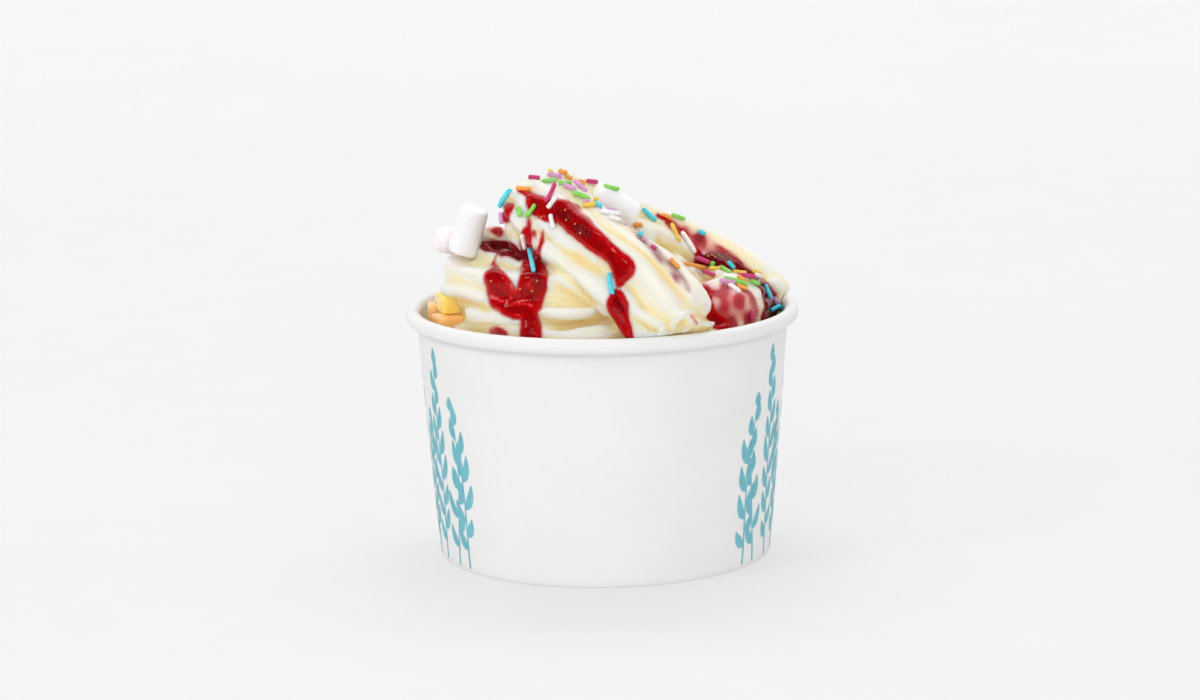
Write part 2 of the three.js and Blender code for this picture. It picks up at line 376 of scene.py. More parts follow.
# A profile of [radius, height] rows carried round the axis, closed on itself
def turnedGrid(profile, around, closed):
    rows = np.asarray(profile, dtype=float)
    if closed:
        rows = np.concatenate([rows, rows[:1]])
    angles = np.linspace(0, 2 * math.pi, around, endpoint=False)
    radius, height = rows[:, :1], rows[:, 1:]
    points = np.stack([radius * np.cos(angles), radius * np.sin(angles),
                       height + 0 * angles], -1)
    return points, gridQuads(len(rows), around)


def rollArc(start, end, steps):
    angles = np.linspace(start, end, steps)
    return np.stack([cup["rimRadius"] - cup["rollWidth"] / 2 + cup["rollWidth"] / 2 * np.cos(angles),
                     cup["height"] - cup["rollHeight"] / 2 + cup["rollHeight"] / 2 * np.sin(angles)], 1)


def rowsBetween(first, last, steps):
    return np.linspace(first, last, steps, endpoint=False)


# Wall cone, round rim, inner face and the foot folded up inside, as one closed profile.
# The side seam lifts the outer face by a small smooth step along one stretch.
def makeCupWall(look):
    paper, gap = cup["paper"], cup["gap"]
    foldInner = cup["footRadius"] - 3 * paper - 2 * gap
    foldTop = cup["recess"] - 1.2
    slot = innerRadius(paper) - paper - 2 * gap
    profile = np.concatenate([
        rowsBetween((foldInner + 0.2, 0), (wallRadius(0) - 0.25, 0), 4),
        rowsBetween((wallRadius(0) - 0.25, 0), (wallRadius(0.3), 0.3), 3),
        rowsBetween((wallRadius(0.3), 0.3), (wallRadius(wallTop - 0.4), wallTop - 0.4), 40),
        rollArc(-math.pi / 2 - 0.25, math.pi, 30),
        rowsBetween((innerRadius(wallTop), wallTop), (innerRadius(paper), paper), 24),
        rowsBetween((innerRadius(paper), paper), (slot, paper), 3),
        rowsBetween((slot, paper), (foldInner + paper, foldTop), 4),
        rowsBetween((foldInner + paper, foldTop), (foldInner, foldTop), 2),
        rowsBetween((foldInner, foldTop), (foldInner + 0.2, 0), 4),
    ])
    points, quads = turnedGrid(profile, cup["around"], True)
    angles = np.degrees(np.arctan2(points[..., 1], points[..., 0]))
    arc = np.radians(angles - cup["seamDegrees"]) * cup["footRadius"]
    lift = smoothStep(-0.25, 0.25, arc) * (1 - smoothStep(cup["seamWidth"], cup["seamWidth"] + 6, arc))
    radius = np.hypot(points[..., 0], points[..., 1])
    outer = smoothStep(-0.5, 0.3, radius - wallRadius(points[..., 2]) + 0.1)
    crease = 0.1 * np.exp(-((points[..., 2] - cup["recess"] - 1.0) / 0.5) ** 2)
    grown = 1 + outer * (lift * cup["seamStep"] - crease) / radius
    points[..., :2] *= grown[..., None]
    mesh = makeMesh("cupWall", points.reshape(-1, 3), quads, weld=True)
    return addPiece("paperCupWall", mesh, look, ["cup_wall"])


def makeCupBase(look):
    paper, gap, recess = cup["paper"], cup["gap"], cup["recess"]
    bottom, top = paper + gap, recess + paper
    skirt = innerRadius(bottom) - gap
    profile = np.concatenate([
        rowsBetween((0.01, recess), (skirt - paper - 0.5, recess), 12),
        rowsBetween((skirt - paper - 0.5, recess), (skirt - paper, recess - 0.5), 3),
        rowsBetween((skirt - paper, recess - 0.5), (skirt - paper, bottom), 4),
        rowsBetween((skirt - paper, bottom), (skirt, bottom), 2),
        rowsBetween((skirt, bottom), (innerRadius(top) - gap, top), 4),
        rowsBetween((innerRadius(top) - gap, top), (0.01, top), 12),
        [(0.01, top)],
    ])
    points, quads = turnedGrid(profile, 128, True)
    mesh = makeMesh("cupBase", points.reshape(-1, 3), quads, weld=True)
    return addPiece("paperCupBase", mesh, look, ["cup_base"])


# Printed leaf sprays: thin ink shapes on the wall, placed by arc and height in mm
sprigs = {
    "sides": [(-76.0, 1), (76.0, -1)],  # degrees round from the front, and which way they lean
    "stems": [(-16, 31, -5), (-9, 47, -3), (-2, 36, 3), (5, 51, 4), (12, 29, 5), (17, 41, -2)],
    "stemWidth": 0.45,
    "leafLength": 7.0,
    "leafWidth": 2.3,
    "leafSpacing": 5.6,
    "vein": 0.14,  # bare line down the middle of a leaf
    "lift": 0.045,
}


def onWall(centreDegrees, across, height):
    angle = np.radians(centreDegrees - 90.0) + across / wallRadius(height)
    radius = wallRadius(height) + sprigs["lift"]
    return np.stack([radius * np.cos(angle), radius * np.sin(angle), height + 0 * across], -1)


# Half a leaf: from a curved spine out to a sine, leaning forward, so it ends in a point
def leafHalf(startX, startY, heading, length, curl, side):
    along = np.linspace(0, 1, 12)[:, None]
    out = np.linspace(0, 1, 4)[None, :]
    bend = heading + curl * along
    vein = sprigs["vein"] / 2 * (along > 0.12)
    half = side * (vein + out * sprigs["leafWidth"] / 2 * np.sin(math.pi * along ** 0.8) ** 0.9)
    x = startX + length * along * np.cos(bend) - half * np.sin(bend)
    y = startY + length * along * np.sin(bend) + half * np.cos(bend)
    return x, y


def makeSprigs(look):
    grids = []
    draw = np.random.default_rng(5)
    for centre, lean in sprigs["sides"]:
        for offset, height, bend in sprigs["stems"]:
            y = np.linspace(1.0, height, 36)
            spine = lean * (offset + bend * (y / height) ** 2 + 0.6 * np.sin(y / 7 + offset))
            width = sprigs["stemWidth"] * (1.3 - 0.9 * y / height)
            x = spine[:, None] + width[:, None] / 2 * np.array([[-1.0, 1.0]])
            grids.append((onWall(centre, x, y[:, None] + 0 * x), gridQuads(36, 2, False)))
            count = int((height - 8) / sprigs["leafSpacing"])
            for k in range(2 * count + 1):
                rise = 6 + k * (height - 7) / (2 * count)
                share = k / (2 * count)
                length = sprigs["leafLength"] * math.sin(math.pi * (0.3 + 0.5 * share))
                length *= draw.uniform(0.85, 1.1)
                turn = 0 if k == 2 * count else (1 if k % 2 else -1)
                heading = math.pi / 2 - turn * (1.05 - 0.45 * share + draw.uniform(-0.1, 0.1))
                start = float(np.interp(rise, y, spine))
                for side in (-1, 1):
                    leaf = leafHalf(start, rise - 0.3, heading, length, turn * 0.45, side)
                    faces = gridQuads(12, 4, False)
                    grids.append((onWall(centre, *leaf), faces if side < 0 else faces[:, ::-1]))
    points, quads = joinGrids(grids)
    mesh = makeMesh("printedSprigs", points, quads[:, ::-1])
    piece = addPiece("printedSprigs", mesh, look)
    shell = piece.modifiers.new("ink", "SOLIDIFY")
    shell.thickness = 0.03 * mm
    shell.offset = -1
    return piece


paperLook = makePaperLook()
makeCupWall(paperLook)
makeCupBase(paperLook)
makeSprigs(speckledLook("tealInk", (160.0, 1400.0, 0.5), (0.3, (0.105, 0.44, 0.53)),
                        (0.72, (0.17, 0.55, 0.63)), {"Roughness": 0.5}))
print("cup and print made")

# Yogurt ropes, in mm as the frame holds them
swirl = {
    "ribs": 6,
    "ribDepth": 0.15,
    "sharp": 0.7,  # share of the pointed crest in a rib
    "voxel": 0.58,
    "relaxRounds": 1,
    "cutHeight": 46.0,  # below this the yogurt is hidden in the cup and stays plain
    # Round masses among the ropes: centre and radii
    "balls": [((10.5, 5, 76.5), (3, 3, 3)), ((-16.5, -4, 87.6), (5.2, 5, 5.6)),
              ((-26, -3, 74), (5.5, 5, 7.2))],
    # How much each cue adds to the warm tone of the creases, which is painted shade: a base share, hollows
    # at three sizes, faces turned down, the low coils by the rim and the back rope
    "tone": {"base": 0.27, "thin": 1.6, "fine": 0.6, "wide": 0.16, "under": 0.2, "low": 0.42,
             "back": 0.24},
}


def coilPoints(radius, startAngle, endAngle, startHeight, endHeight, drawIn=0.0):
    share = np.linspace(0, 1, 15)
    angle = np.radians(startAngle + (endAngle - startAngle) * share)
    reach = radius - drawIn * np.maximum(0, 3 * share - 2) ** 2
    return np.stack([reach * np.cos(angle), reach * np.sin(angle),
                     startHeight + (endHeight - startHeight) * share], 1)


ropes = {
    "lowerCoil": {"points": coilPoints(30, -75, 285, 52, 55), "width": 12.5, "height": 9.5, "phase": -0.25},
    "upperCoil": {"points": coilPoints(29.5, 50, 290, 64, 66, 11), "width": 10.6, "height": 9.8,
                  "phase": -0.26},
    "front": {"points": [(-18, -3, 87), (-9.5, -14, 81), (-1, -24, 75), (10.3, -31, 66.7),
                         (14.8, -33.7, 60.8), (14.2, -31.5, 55)],
              "width": 10, "height": 9.5, "phase": 0.26, "twist": -0.5, "taper": -0.2},
    "back": {"points": [(42.3, 4, 56.5), (34, 13, 61.5), (18, 16, 69), (3, 13, 75.5), (-10, 6, 82.5),
                        (-17, 0, 85.5)],
             "width": 9.5, "height": 9.5, "phase": 0.5},
    "fold": {"points": [(-14, -5, 88), (-19.6, -9, 86), (-19.2, -13, 80.5), (-15.8, -17, 74.5)],
             "width": 4.6, "height": 5, "taper": 0.45, "up": (1, 0, 0), "ribDepth": 0.05},
    "mound": {"points": [(12, -20, 54), (24, -19, 60.5), (31, -12, 61.5), (30, -2, 60), (20, 8, 57)],
              "width": 8, "height": 8, "phase": 0.5, "ribDepth": 0.04},
}


# Centripetal Catmull-Rom curve through the points, resampled evenly by length
def smoothPath(points, count):
    points = np.asarray(points, dtype=float)
    ends = np.concatenate([[2 * points[0] - points[1]], points, [2 * points[-1] - points[-2]]])
    step = np.sqrt(np.linalg.norm(np.diff(ends, axis=0), axis=1))
    share = np.linspace(0, 1, 60)[:, None]
    pieces = []
    for k in range(len(points) - 1):
        p0, p1, p2, p3 = ends[k:k + 4]
        d0, d1, d2 = step[k:k + 3]
        t1 = ((p1 - p0) / d0 - (p2 - p0) / (d0 + d1) + (p2 - p1) / d1) * d1
        t2 = ((p2 - p1) / d1 - (p3 - p1) / (d1 + d2) + (p3 - p2) / d2) * d1
        pieces.append(p1 + t1 * share + (3 * (p2 - p1) - 2 * t1 - t2) * share ** 2
                      + (2 * (p1 - p2) + t1 + t2) * share ** 3)
    dense = np.concatenate(pieces)
    length = np.concatenate([[0], np.cumsum(np.linalg.norm(np.diff(dense, axis=0), axis=1))])
    marks = np.linspace(0, length[-1], count)
    return np.stack([np.interp(marks, length, dense[:, k]) for k in range(3)], 1), length[-1]


def pathFrames(rope, count):
    centre, length = smoothPath(rope["points"], count)
    tangent = np.gradient(centre, axis=0)
    tangent /= np.linalg.norm(tangent, axis=1)[:, None]
    side = np.cross(tangent, np.asarray(rope.get("up", (0, 0, 1)), dtype=float))
    side /= np.linalg.norm(side, axis=1)[:, None]
    return centre, side, np.cross(side, tangent), length


# A star-nozzle rope: rings of an ellipse whose radius swings with pointed crests,
# shrinking to a round end, carried along the path
def ropeGrid(rope, rings=220, around=96):
    centre, side, normal, length = pathFrames(rope, rings)
    t = np.linspace(0, 1, rings)
    near = 1 - np.minimum(1, np.minimum(t, 1 - t) * length / min(rope["width"], rope["height"]))
    size = (0.04 + 0.96 * np.sqrt(1 - near ** 2)) * (1 - rope.get("taper", 0) * t)
    turn = np.linspace(0, 2 * math.pi, around, endpoint=False)
    depth = rope.get("ribDepth", swirl["ribDepth"])
    sharp = 1 - 2 * np.abs(np.sin(swirl["ribs"] / 2 * turn))
    crest = (1 - swirl["sharp"]) * np.cos(swirl["ribs"] * turn) + swirl["sharp"] * sharp
    angle = turn[None, :] + rope.get("phase", 0) + rope.get("twist", 0) * t[:, None]
    scale = size[:, None] * (1 + depth * crest)[None, :]
    points = (centre[:, None, :] + side[:, None, :] * (np.cos(angle) * rope["width"] * scale)[..., None]
              + normal[:, None, :] * (np.sin(angle) * rope["height"] * scale)[..., None])
    return points, gridQuads(rings, around)


def ballGrid(centre, radius, rings=24, around=32):
    down = np.linspace(0, math.pi, rings)[:, None]
    turn = np.linspace(0, 2 * math.pi, around, endpoint=False)[None, :]
    points = np.stack([np.sin(down) * np.cos(turn), np.sin(down) * np.sin(turn),
                       np.cos(down) + 0 * turn], -1)
    return points * np.asarray(radius) + np.asarray(centre), gridQuads(rings, around)


# The dome of yogurt under the ropes, from the cut height up
def fillGrid():
    low, gap = swirl["cutHeight"] - 2, cup["gap"]
    profile = [(0.05, low), (innerRadius(low) - gap, low), (innerRadius(50) - gap, 50), (32, 58),
               (20, 72), (0.05, 76)]
    return turnedGrid(profile, 128, True)


def remeshed(points, quads, voxel):
    mesh = makeMesh("ropeShells", points, quads, weld=True)
    work = bpy.data.objects.new("ropeShells", mesh)
    link(work)
    wrap = work.modifiers.new("wrap", "REMESH")
    wrap.mode = "VOXEL"
    wrap.voxel_size = voxel * mm
    solid = work.evaluated_get(bpy.context.evaluated_depsgraph_get())
    result = bpy.data.meshes.new_from_object(solid)
    bpy.data.objects.remove(work)
    bpy.data.meshes.remove(mesh)
    return result


# The widest the filling may be: the wall's inside, then round the rim's roll, then free
def roomAt(z):
    middle = cup["height"] - cup["rollHeight"] / 2
    share = np.clip((z - middle) / (cup["rollHeight"] / 2), 0, 1)
    roll = cup["rollWidth"] / 2 * (1 - np.sqrt(1 - share ** 2))
    limit = innerRadius(np.minimum(z, wallTop)) + roll - 0.14
    return np.where(z > cup["height"] + 0.12, 1e9, limit)


def insideCup(points):
    radius = np.hypot(points[:, 0], points[:, 1])
    shrink = np.minimum(1, roomAt(points[:, 2]) / np.maximum(radius, 1e-6))
    result = points.copy()
    result[:, :2] *= shrink[:, None]
    return result


# For each vertex: the rope it belongs to, as a streak coordinate that runs slowly along it
def strandVectors(points):
    best = np.full(len(points), 1e9)
    strand = np.zeros((len(points), 3))
    for number, rope in enumerate(ropes.values()):
        centre, side, normal, length = pathFrames(rope, 70)
        apart = points[:, None, :] - centre[None, :, :]
        nearest = np.argmin((apart ** 2).sum(2), axis=1)
        offset = apart[np.arange(len(points)), nearest]
        x = (offset * side[nearest]).sum(1)
        y = (offset * normal[nearest]).sum(1)
        ratio = np.sqrt((x / rope["width"]) ** 2 + (y / rope["height"]) ** 2
                        + ((offset ** 2).sum(1) - x ** 2 - y ** 2).clip(0) / rope["width"] ** 2)
        wins = ratio < best
        best[wins] = ratio[wins]
        flow = nearest / 69 * length * 0.07
        strand[wins] = np.stack([x, y, flow + 40.0 * number], 1)[wins]
    return strand


# Raised lips and torn edges on the ropes: rows of x and y in the photo's pixels and a radius in mm
lips = {
    "peakCurl": [(505, 210, 1.2), (505, 202, 1.8), (510, 196, 2.2), (517, 194, 2.3), (523, 199, 2.2),
                 (526, 208, 1.8), (526, 217, 1.0)],
    "lobeEdge": [(504, 224, 0.8), (509, 236, 1.0), (517, 246, 1.1), (524, 256, 1.0)],
    "upperFold": [(447, 252, 1.2), (466, 250, 1.5), (484, 252, 1.6), (494, 257, 1.4), (508, 258, 1.4),
                  (522, 260, 1.2)],
    "leftFold": [(435, 290, 1.4), (450, 290, 2.0), (469, 292, 2.0), (484, 297, 1.7), (491, 304, 0.9)],
    "rightBlob": [(766, 283, 1.2), (774, 284, 2.0), (780, 290, 1.3)],
    "middleFold": [(536, 310, 0.9), (551, 313, 1.3), (575, 314.5, 1.3), (604, 312, 1.0)],
    "firstCrest": [(532, 223, 1.3), (541, 223.5, 1.6), (550, 229, 1.6), (559, 235.5, 1.6),
                   (570, 244.5, 1.6), (582, 251, 1.6), (595, 260.5, 1.5), (607, 269, 1.1)],
    "secondCrest": [(619, 288, 1.0), (628, 299, 1.4), (635, 311, 1.4), (647, 317, 1.3), (660, 325, 1.2),
                    (669, 332, 1.0)],
    "lowerEdge": [(541, 266, 0.9), (560, 280, 1.1), (586, 296, 1.1), (607, 310, 1.1), (618, 330, 0.9)],
    "shoulder": [(574, 207, 0.7), (586, 215, 1.0), (596, 226, 1.0), (607, 239, 1.0), (620, 247, 0.9),
                 (634, 257, 0.7)],
    "farEdge": [(600, 214, 0.9), (626, 236, 1.2), (655, 259, 1.3), (677, 281, 1.4), (690, 298, 1.3),
                (696, 315, 1.0)],
    "endCurl": [(671, 331, 0.7), (674, 321, 0.9), (682, 315, 0.9), (696, 310, 0.6)],
    "moundRidge": [(683, 269, 0.9), (706, 272, 1.1), (734, 279, 1.2), (760, 284, 1.3), (765, 298, 1.2),
                   (762, 312, 1.0)],
}
# Hollows pressed into the ropes: centre and half size in pixels, then depth in mm
dents = [(497, 243, 13, 11, 4.0), (446, 304, 14, 8, 4.8), (445, 318, 16, 9, 4.2), (683, 323, 6, 5, 0.9),
         (580, 325, 34, 8, 2.2), (490, 238, 9, 9, 2.5)]
# Narrow grooves under the lips: rows of x, y and half width in pixels, and a depth in mm
grooves = {
    "firstCrest": {"rows": [(536, 231, 2), (545, 236, 2.5), (555, 242, 3), (566, 251, 3), (581, 260, 3),
                            (597, 271, 3), (606, 278, 2)], "depth": 0.7},
    "secondCrest": {"rows": [(614, 292, 2), (624, 305, 2.5), (632, 316, 2.5), (645, 324, 2.5),
                             (656, 332, 2)], "depth": 0.8},
    "leftFold": {"rows": [(436, 301, 3), (455, 302, 3), (472, 302, 3), (486, 309, 2)], "depth": 1.4},
    "upperFold": {"rows": [(450, 261, 2), (470, 260, 3), (490, 265, 3), (508, 267, 3),
                           (522, 268, 2)], "depth": 0.9},
    "middleFold": {"rows": [(537, 318, 3), (560, 321, 3), (582, 321, 3), (606, 318, 3)], "depth": 1.4},
    "shoulder": {"rows": [(640, 260, 2), (662, 277, 3), (676, 293, 3), (684, 309, 2)], "depth": 0.5},
    "lobe": {"rows": [(497, 226, 2.5), (503, 240, 3), (511, 251, 3), (521, 259, 2)], "depth": 1.6},
}


# How far inside a stream each flat point lies: its half width there less the distance
def streamReach(flat, rows):
    rows = np.asarray(rows, dtype=float)
    path, half = rows[:, :2], rows[:, 2]
    if len(path) > 2:
        marks = np.linspace(0, len(path) - 1, 8 * len(path))
        curve = np.stack([np.interp(marks, np.arange(len(path)), path[:, k]) for k in (0, 1)], 1)
        for _ in range(6):
            curve[1:-1] = 0.5 * curve[1:-1] + 0.25 * (curve[:-2] + curve[2:])
        half = np.interp(marks, np.arange(len(path)), half)
        path = curve
    reach = np.full(len(flat), -1e9)
    for k in range(len(path) - 1):
        span = path[k + 1] - path[k]
        share = np.clip(((flat - path[k]) @ span) / max(span @ span, 1e-9), 0, 1)
        apart = np.linalg.norm(flat - path[k] - share[:, None] * span, axis=1)
        reach = np.maximum(reach, half[k] + (half[k + 1] - half[k]) * share - apart)
    return reach


def widestReach(flat, streams):
    return np.max([streamReach(flat, rows) for rows in streams], axis=0)


# Where the camera's lines through a path of pixels meet the surface, with the normals there
def tracedPath(spots, tree, steps):
    marks = np.linspace(0, len(spots) - 1, steps)
    spots = np.stack([np.interp(marks, np.arange(len(spots)), spots[:, k]) for k in (0, 1)], 1)
    hits = [tree.ray_cast(*sightLine(x, y)) for x, y in spots]
    kept = [k for k, hit in enumerate(hits) if hit[0] is not None]
    points = np.array([hits[k][0] for k in kept])
    normals = np.array([hits[k][1] for k in kept])
    for _ in range(3):
        points[1:-1] = 0.5 * points[1:-1] + 0.25 * (points[:-2] + points[2:])
    return points, normals, marks[kept]


# A tube along traced points, half sunk, that narrows to closed ends
def lipGrid(rows, tree, around=20, steps=40):
    rows = np.asarray(rows, dtype=float)
    points, normals, marks = tracedPath(rows[:, :2], tree, steps)
    radius = np.interp(marks, np.arange(len(rows)), rows[:, 2])
    share = np.linspace(0, 1, len(points))
    radius = radius * np.clip(np.sin(math.pi * share) * 2.2, 0.02, 1)
    tangent = np.gradient(points, axis=0)
    tangent /= np.linalg.norm(tangent, axis=1)[:, None]
    side = np.cross(tangent, normals)
    side /= np.linalg.norm(side, axis=1)[:, None]
    rise = np.cross(side, tangent)
    turn = np.linspace(0, 2 * math.pi, around, endpoint=False)
    ring = (np.cos(turn)[None, :, None] * side[:, None, :] + np.sin(turn)[None, :, None] * rise[:, None, :])
    return points[:, None, :] + ring * radius[:, None, None], gridQuads(len(points), around)


def pressDents(points, normals):
    pixels = toPixels(points)
    facing = smoothStep(0.0, 0.35, -normals[:, 1])
    for x, y, halfX, halfY, depth in dents:
        apart = ((pixels[:, 0] - x) / halfX) ** 2 + ((pixels[:, 1] - y) / halfY) ** 2
        points = points - normals * (depth * facing * np.exp(-apart ** 1.5))[:, None]
    for groove in grooves.values():
        reach = smoothStep(-2.5, 2.5, streamReach(pixels, groove["rows"]))
        points = points - normals * (groove["depth"] * facing * reach)[:, None]
    return points


# The ropes are joined once, pressed, and joined again with the lips that lie on them
def makeSwirlMesh():
    grids = [ropeGrid(rope) for rope in ropes.values()]
    grids += [fillGrid()] + [ballGrid(*ball) for ball in swirl["balls"]]
    plain = remeshed(*joinGrids(grids), swirl["voxel"])
    points, normals, edges = meshArrays(plain)
    points = insideCup(pressDents(relaxed(points, edges, 1), normals))
    tree = treeOf(plain, points)
    faces = np.empty(len(plain.loops), dtype=np.int32)
    plain.loops.foreach_get("vertex_index", faces)
    bpy.data.meshes.remove(plain)
    grids = [(points, faces.reshape(-1, 4))] + [lipGrid(rows, tree) for rows in lips.values()]
    mesh = remeshed(*joinGrids(grids), swirl["voxel"])
    points, normals, edges = meshArrays(mesh)
    points = relaxed(points, edges, swirl["relaxRounds"])
    strand = strandVectors(points)
    ripple = waviness(points, 17, 3) * 0.3 + waviness(strand, 3.2, 5) * 0.12
    points = insideCup(points + normals * ripple[:, None])
    points = insideCup(relaxed(points, edges, 1))
    # Painted shade: the crease value warms the yogurt to yellow in hollows, on faces turned down, on the
    # low coils by the rim and on the back rope
    hollow = {name: ((relaxed(points, edges, rounds) - points) * normals).sum(1)
              for name, rounds in (("thin", 8), ("fine", 30), ("wide", 320))}
    backShadeShare = relaxed((np.abs(strand[:, 2:] - 128) < 20).astype(float), edges, 12)[:, 0]
    tone = swirl["tone"]
    crease = (tone["base"] + tone["thin"] * hollow["thin"] + tone["fine"] * hollow["fine"]
              + tone["wide"] * hollow["wide"] + tone["under"] * smoothStep(0.3, -0.5, normals[:, 2])
              + tone["low"] * smoothStep(68, 60, points[:, 2]) + tone["back"] * backShadeShare)
    storeValue(mesh, "crease", np.clip(crease, 0, 1))
    storeVector(mesh, "strand", strand)
    movePoints(mesh, points)
    return mesh


swirlMesh = makeSwirlMesh()
print("yogurt ropes joined:", len(swirlMesh.vertices), "points")

# Marshmallows: as the frame's solids, with soft dents and a pinch at the ends
marshmallows = {
    "places": {  # centre, direction, length, radius and how round the ends are
        "marshmallow_left": ((-32.0, -6, 80.5), (0.3, -0.1, 1), 11.7, 3.7, 0.17),
        "marshmallow_pink": ((-34.6, 3.4, 76.6), (1, 0.35, -0.1), 12.3, 3.3, 0.36),
        "marshmallow_right": ((3.4, 3, 84.8), (0.86, 0.1, -0.5), 11.4, 3.45, 0.17),
    },
}


# A rounded cylinder: superellipse of radius against length, then noise dents
def marshmallowGrid(centre, direction, length, radius, power, seed):
    rows, around = 64, 72
    down = np.linspace(-math.pi / 2, math.pi / 2, rows)
    pinch = 1 - 0.07 * np.exp(-((np.sin(down) + 0.62) / 0.16) ** 2)
    radius = radius * pinch * np.abs(np.cos(down)) ** power
    height = length / 2 * np.sign(np.sin(down)) * np.abs(np.sin(down)) ** power
    radius[0] = radius[-1] = 0.0
    turn = np.linspace(0, 2 * math.pi, around, endpoint=False)
    points = np.stack([radius[:, None] * np.cos(turn), radius[:, None] * np.sin(turn),
                       height[:, None] + 0 * turn], -1).reshape(-1, 3)
    flat = points * (1, 1, 0.5)
    outward = points / np.maximum(np.linalg.norm(points, axis=1), 1e-6)[:, None]
    dimples = 0.16 * waviness(flat, 7.0, seed) + 0.05 * waviness(points, 2.0, seed + 1)
    points = points + outward * dimples[:, None]
    axis = Vector(direction).normalized()
    turnTo = np.array(Vector((0, 0, 1)).rotation_difference(axis).to_matrix())
    return points @ turnTo.T + np.asarray(centre), gridQuads(rows, around)


def makeMarshmallowLook(name, light, shade):
    look, tree, shader = newLook(name)
    place = placeVector(tree)
    powder = grain(tree, place, 420.0, 2200.0, 0.5)
    tone = grain(tree, place, 90.0, 400.0, 0.3)
    tree.links.new(ramp(tree, tone, [(0.3, shade), (0.62, light)]), shader.inputs["Base Color"])
    tree.links.new(bump(tree, powder, 0.35, 0.00018), shader.inputs["Normal"])
    setInputs(shader, {"Roughness": 0.85, "Subsurface Weight": 0.4, "Subsurface Radius": (1.0, 0.85, 0.8),
                       "Subsurface Scale": 0.002, "Sheen Weight": 0.15})
    return look


def makeMarshmallows():
    trees = []
    white = makeMarshmallowLook("marshmallowWhite", (0.86, 0.865, 0.89), (0.81, 0.81, 0.84))
    pink = makeMarshmallowLook("marshmallowPink", (0.90, 0.83, 0.87), (0.87, 0.76, 0.81))
    for number, (node, spec) in enumerate(marshmallows["places"].items()):
        points, quads = marshmallowGrid(*spec, 60 + 7 * number)
        mesh = makeMesh(node, points, quads, weld=True)
        isPink = node.endswith("pink")
        name = "marshmallow" + node.split("_")[1].capitalize()
        addPiece(name, mesh, pink if isPink else white,
                 [node])
        trees.append(treeOf(mesh, meshArrays(mesh)[0]))
    return trees


marshmallowTrees = makeMarshmallows()

# Fruit cubes by the wall
fruit = {
    "fruit_mango": {"centre": (-35.8, -10.3, 63.6), "size": (7.6, 7.5, 4.8), "turn": 18, "look": "mango"},
    "fruit_peach": {"centre": (-36.3, -12.8, 57.6), "size": (8.4, 8.5, 7.6), "turn": 20, "look": "peach"},
    "fruit_orange": {"centre": (-39.8, -2.2, 58.6), "size": (5.6, 7.6, 7.4), "turn": 3, "look": "peach"},
}


# A cut cube with soft edges: sphere directions scaled by a high power norm, and fine fibres
def fruitGrid(spec, seed):
    points, quads = ballGrid((0, 0, 0), 1.0, 48, 64)
    flat = points.reshape(-1, 3)
    norm = (np.abs(flat) ** 7).sum(1) ** (1 / 7)
    shape = flat / norm[:, None] * (np.asarray(spec["size"]) / 2)
    outward = shape / np.linalg.norm(shape, axis=1)[:, None]
    dimples = 0.12 * waviness(shape, 4.0, seed) + 0.05 * waviness(shape * (1, 1, 3), 1.6, seed + 1)
    shape = shape + outward * dimples[:, None]
    angle = math.radians(spec["turn"])
    turnTo = np.array([[math.cos(angle), -math.sin(angle), 0], [math.sin(angle), math.cos(angle), 0],
                       [0, 0, 1]])
    return insideCup(shape @ turnTo.T + np.asarray(spec["centre"])), quads


def makeFruitLook(name, light, deep):
    return speckledLook(
        name, (220.0, 900.0, 0.45), (0.3, deep), (0.68, light),
        {"Roughness": 0.25, "Coat Weight": 0.4, "Subsurface Weight": 0.35,
         "Subsurface Radius": (1.0, 0.5, 0.15), "Subsurface Scale": 0.002}, (0.3, 0.0003))


def makeFruit():
    looks = {
        "mango": (makeFruitLook("mangoFlesh", (0.98, 0.74, 0.17), (0.95, 0.60, 0.07)), "fruit_yellow"),
        "peach": (makeFruitLook("peachFlesh", (0.97, 0.60, 0.26), (0.94, 0.43, 0.10)), "fruit_orange"),
    }
    for number, (node, spec) in enumerate(fruit.items()):
        points, quads = fruitGrid(spec, 80 + 5 * number)
        look, slotName = looks[spec["look"]]
        name = "fruit" + node.split("_")[1].capitalize()
        addPiece(name, makeMesh(node, points, quads, weld=True), look, [node])


makeFruit()
print("marshmallows and fruit made")

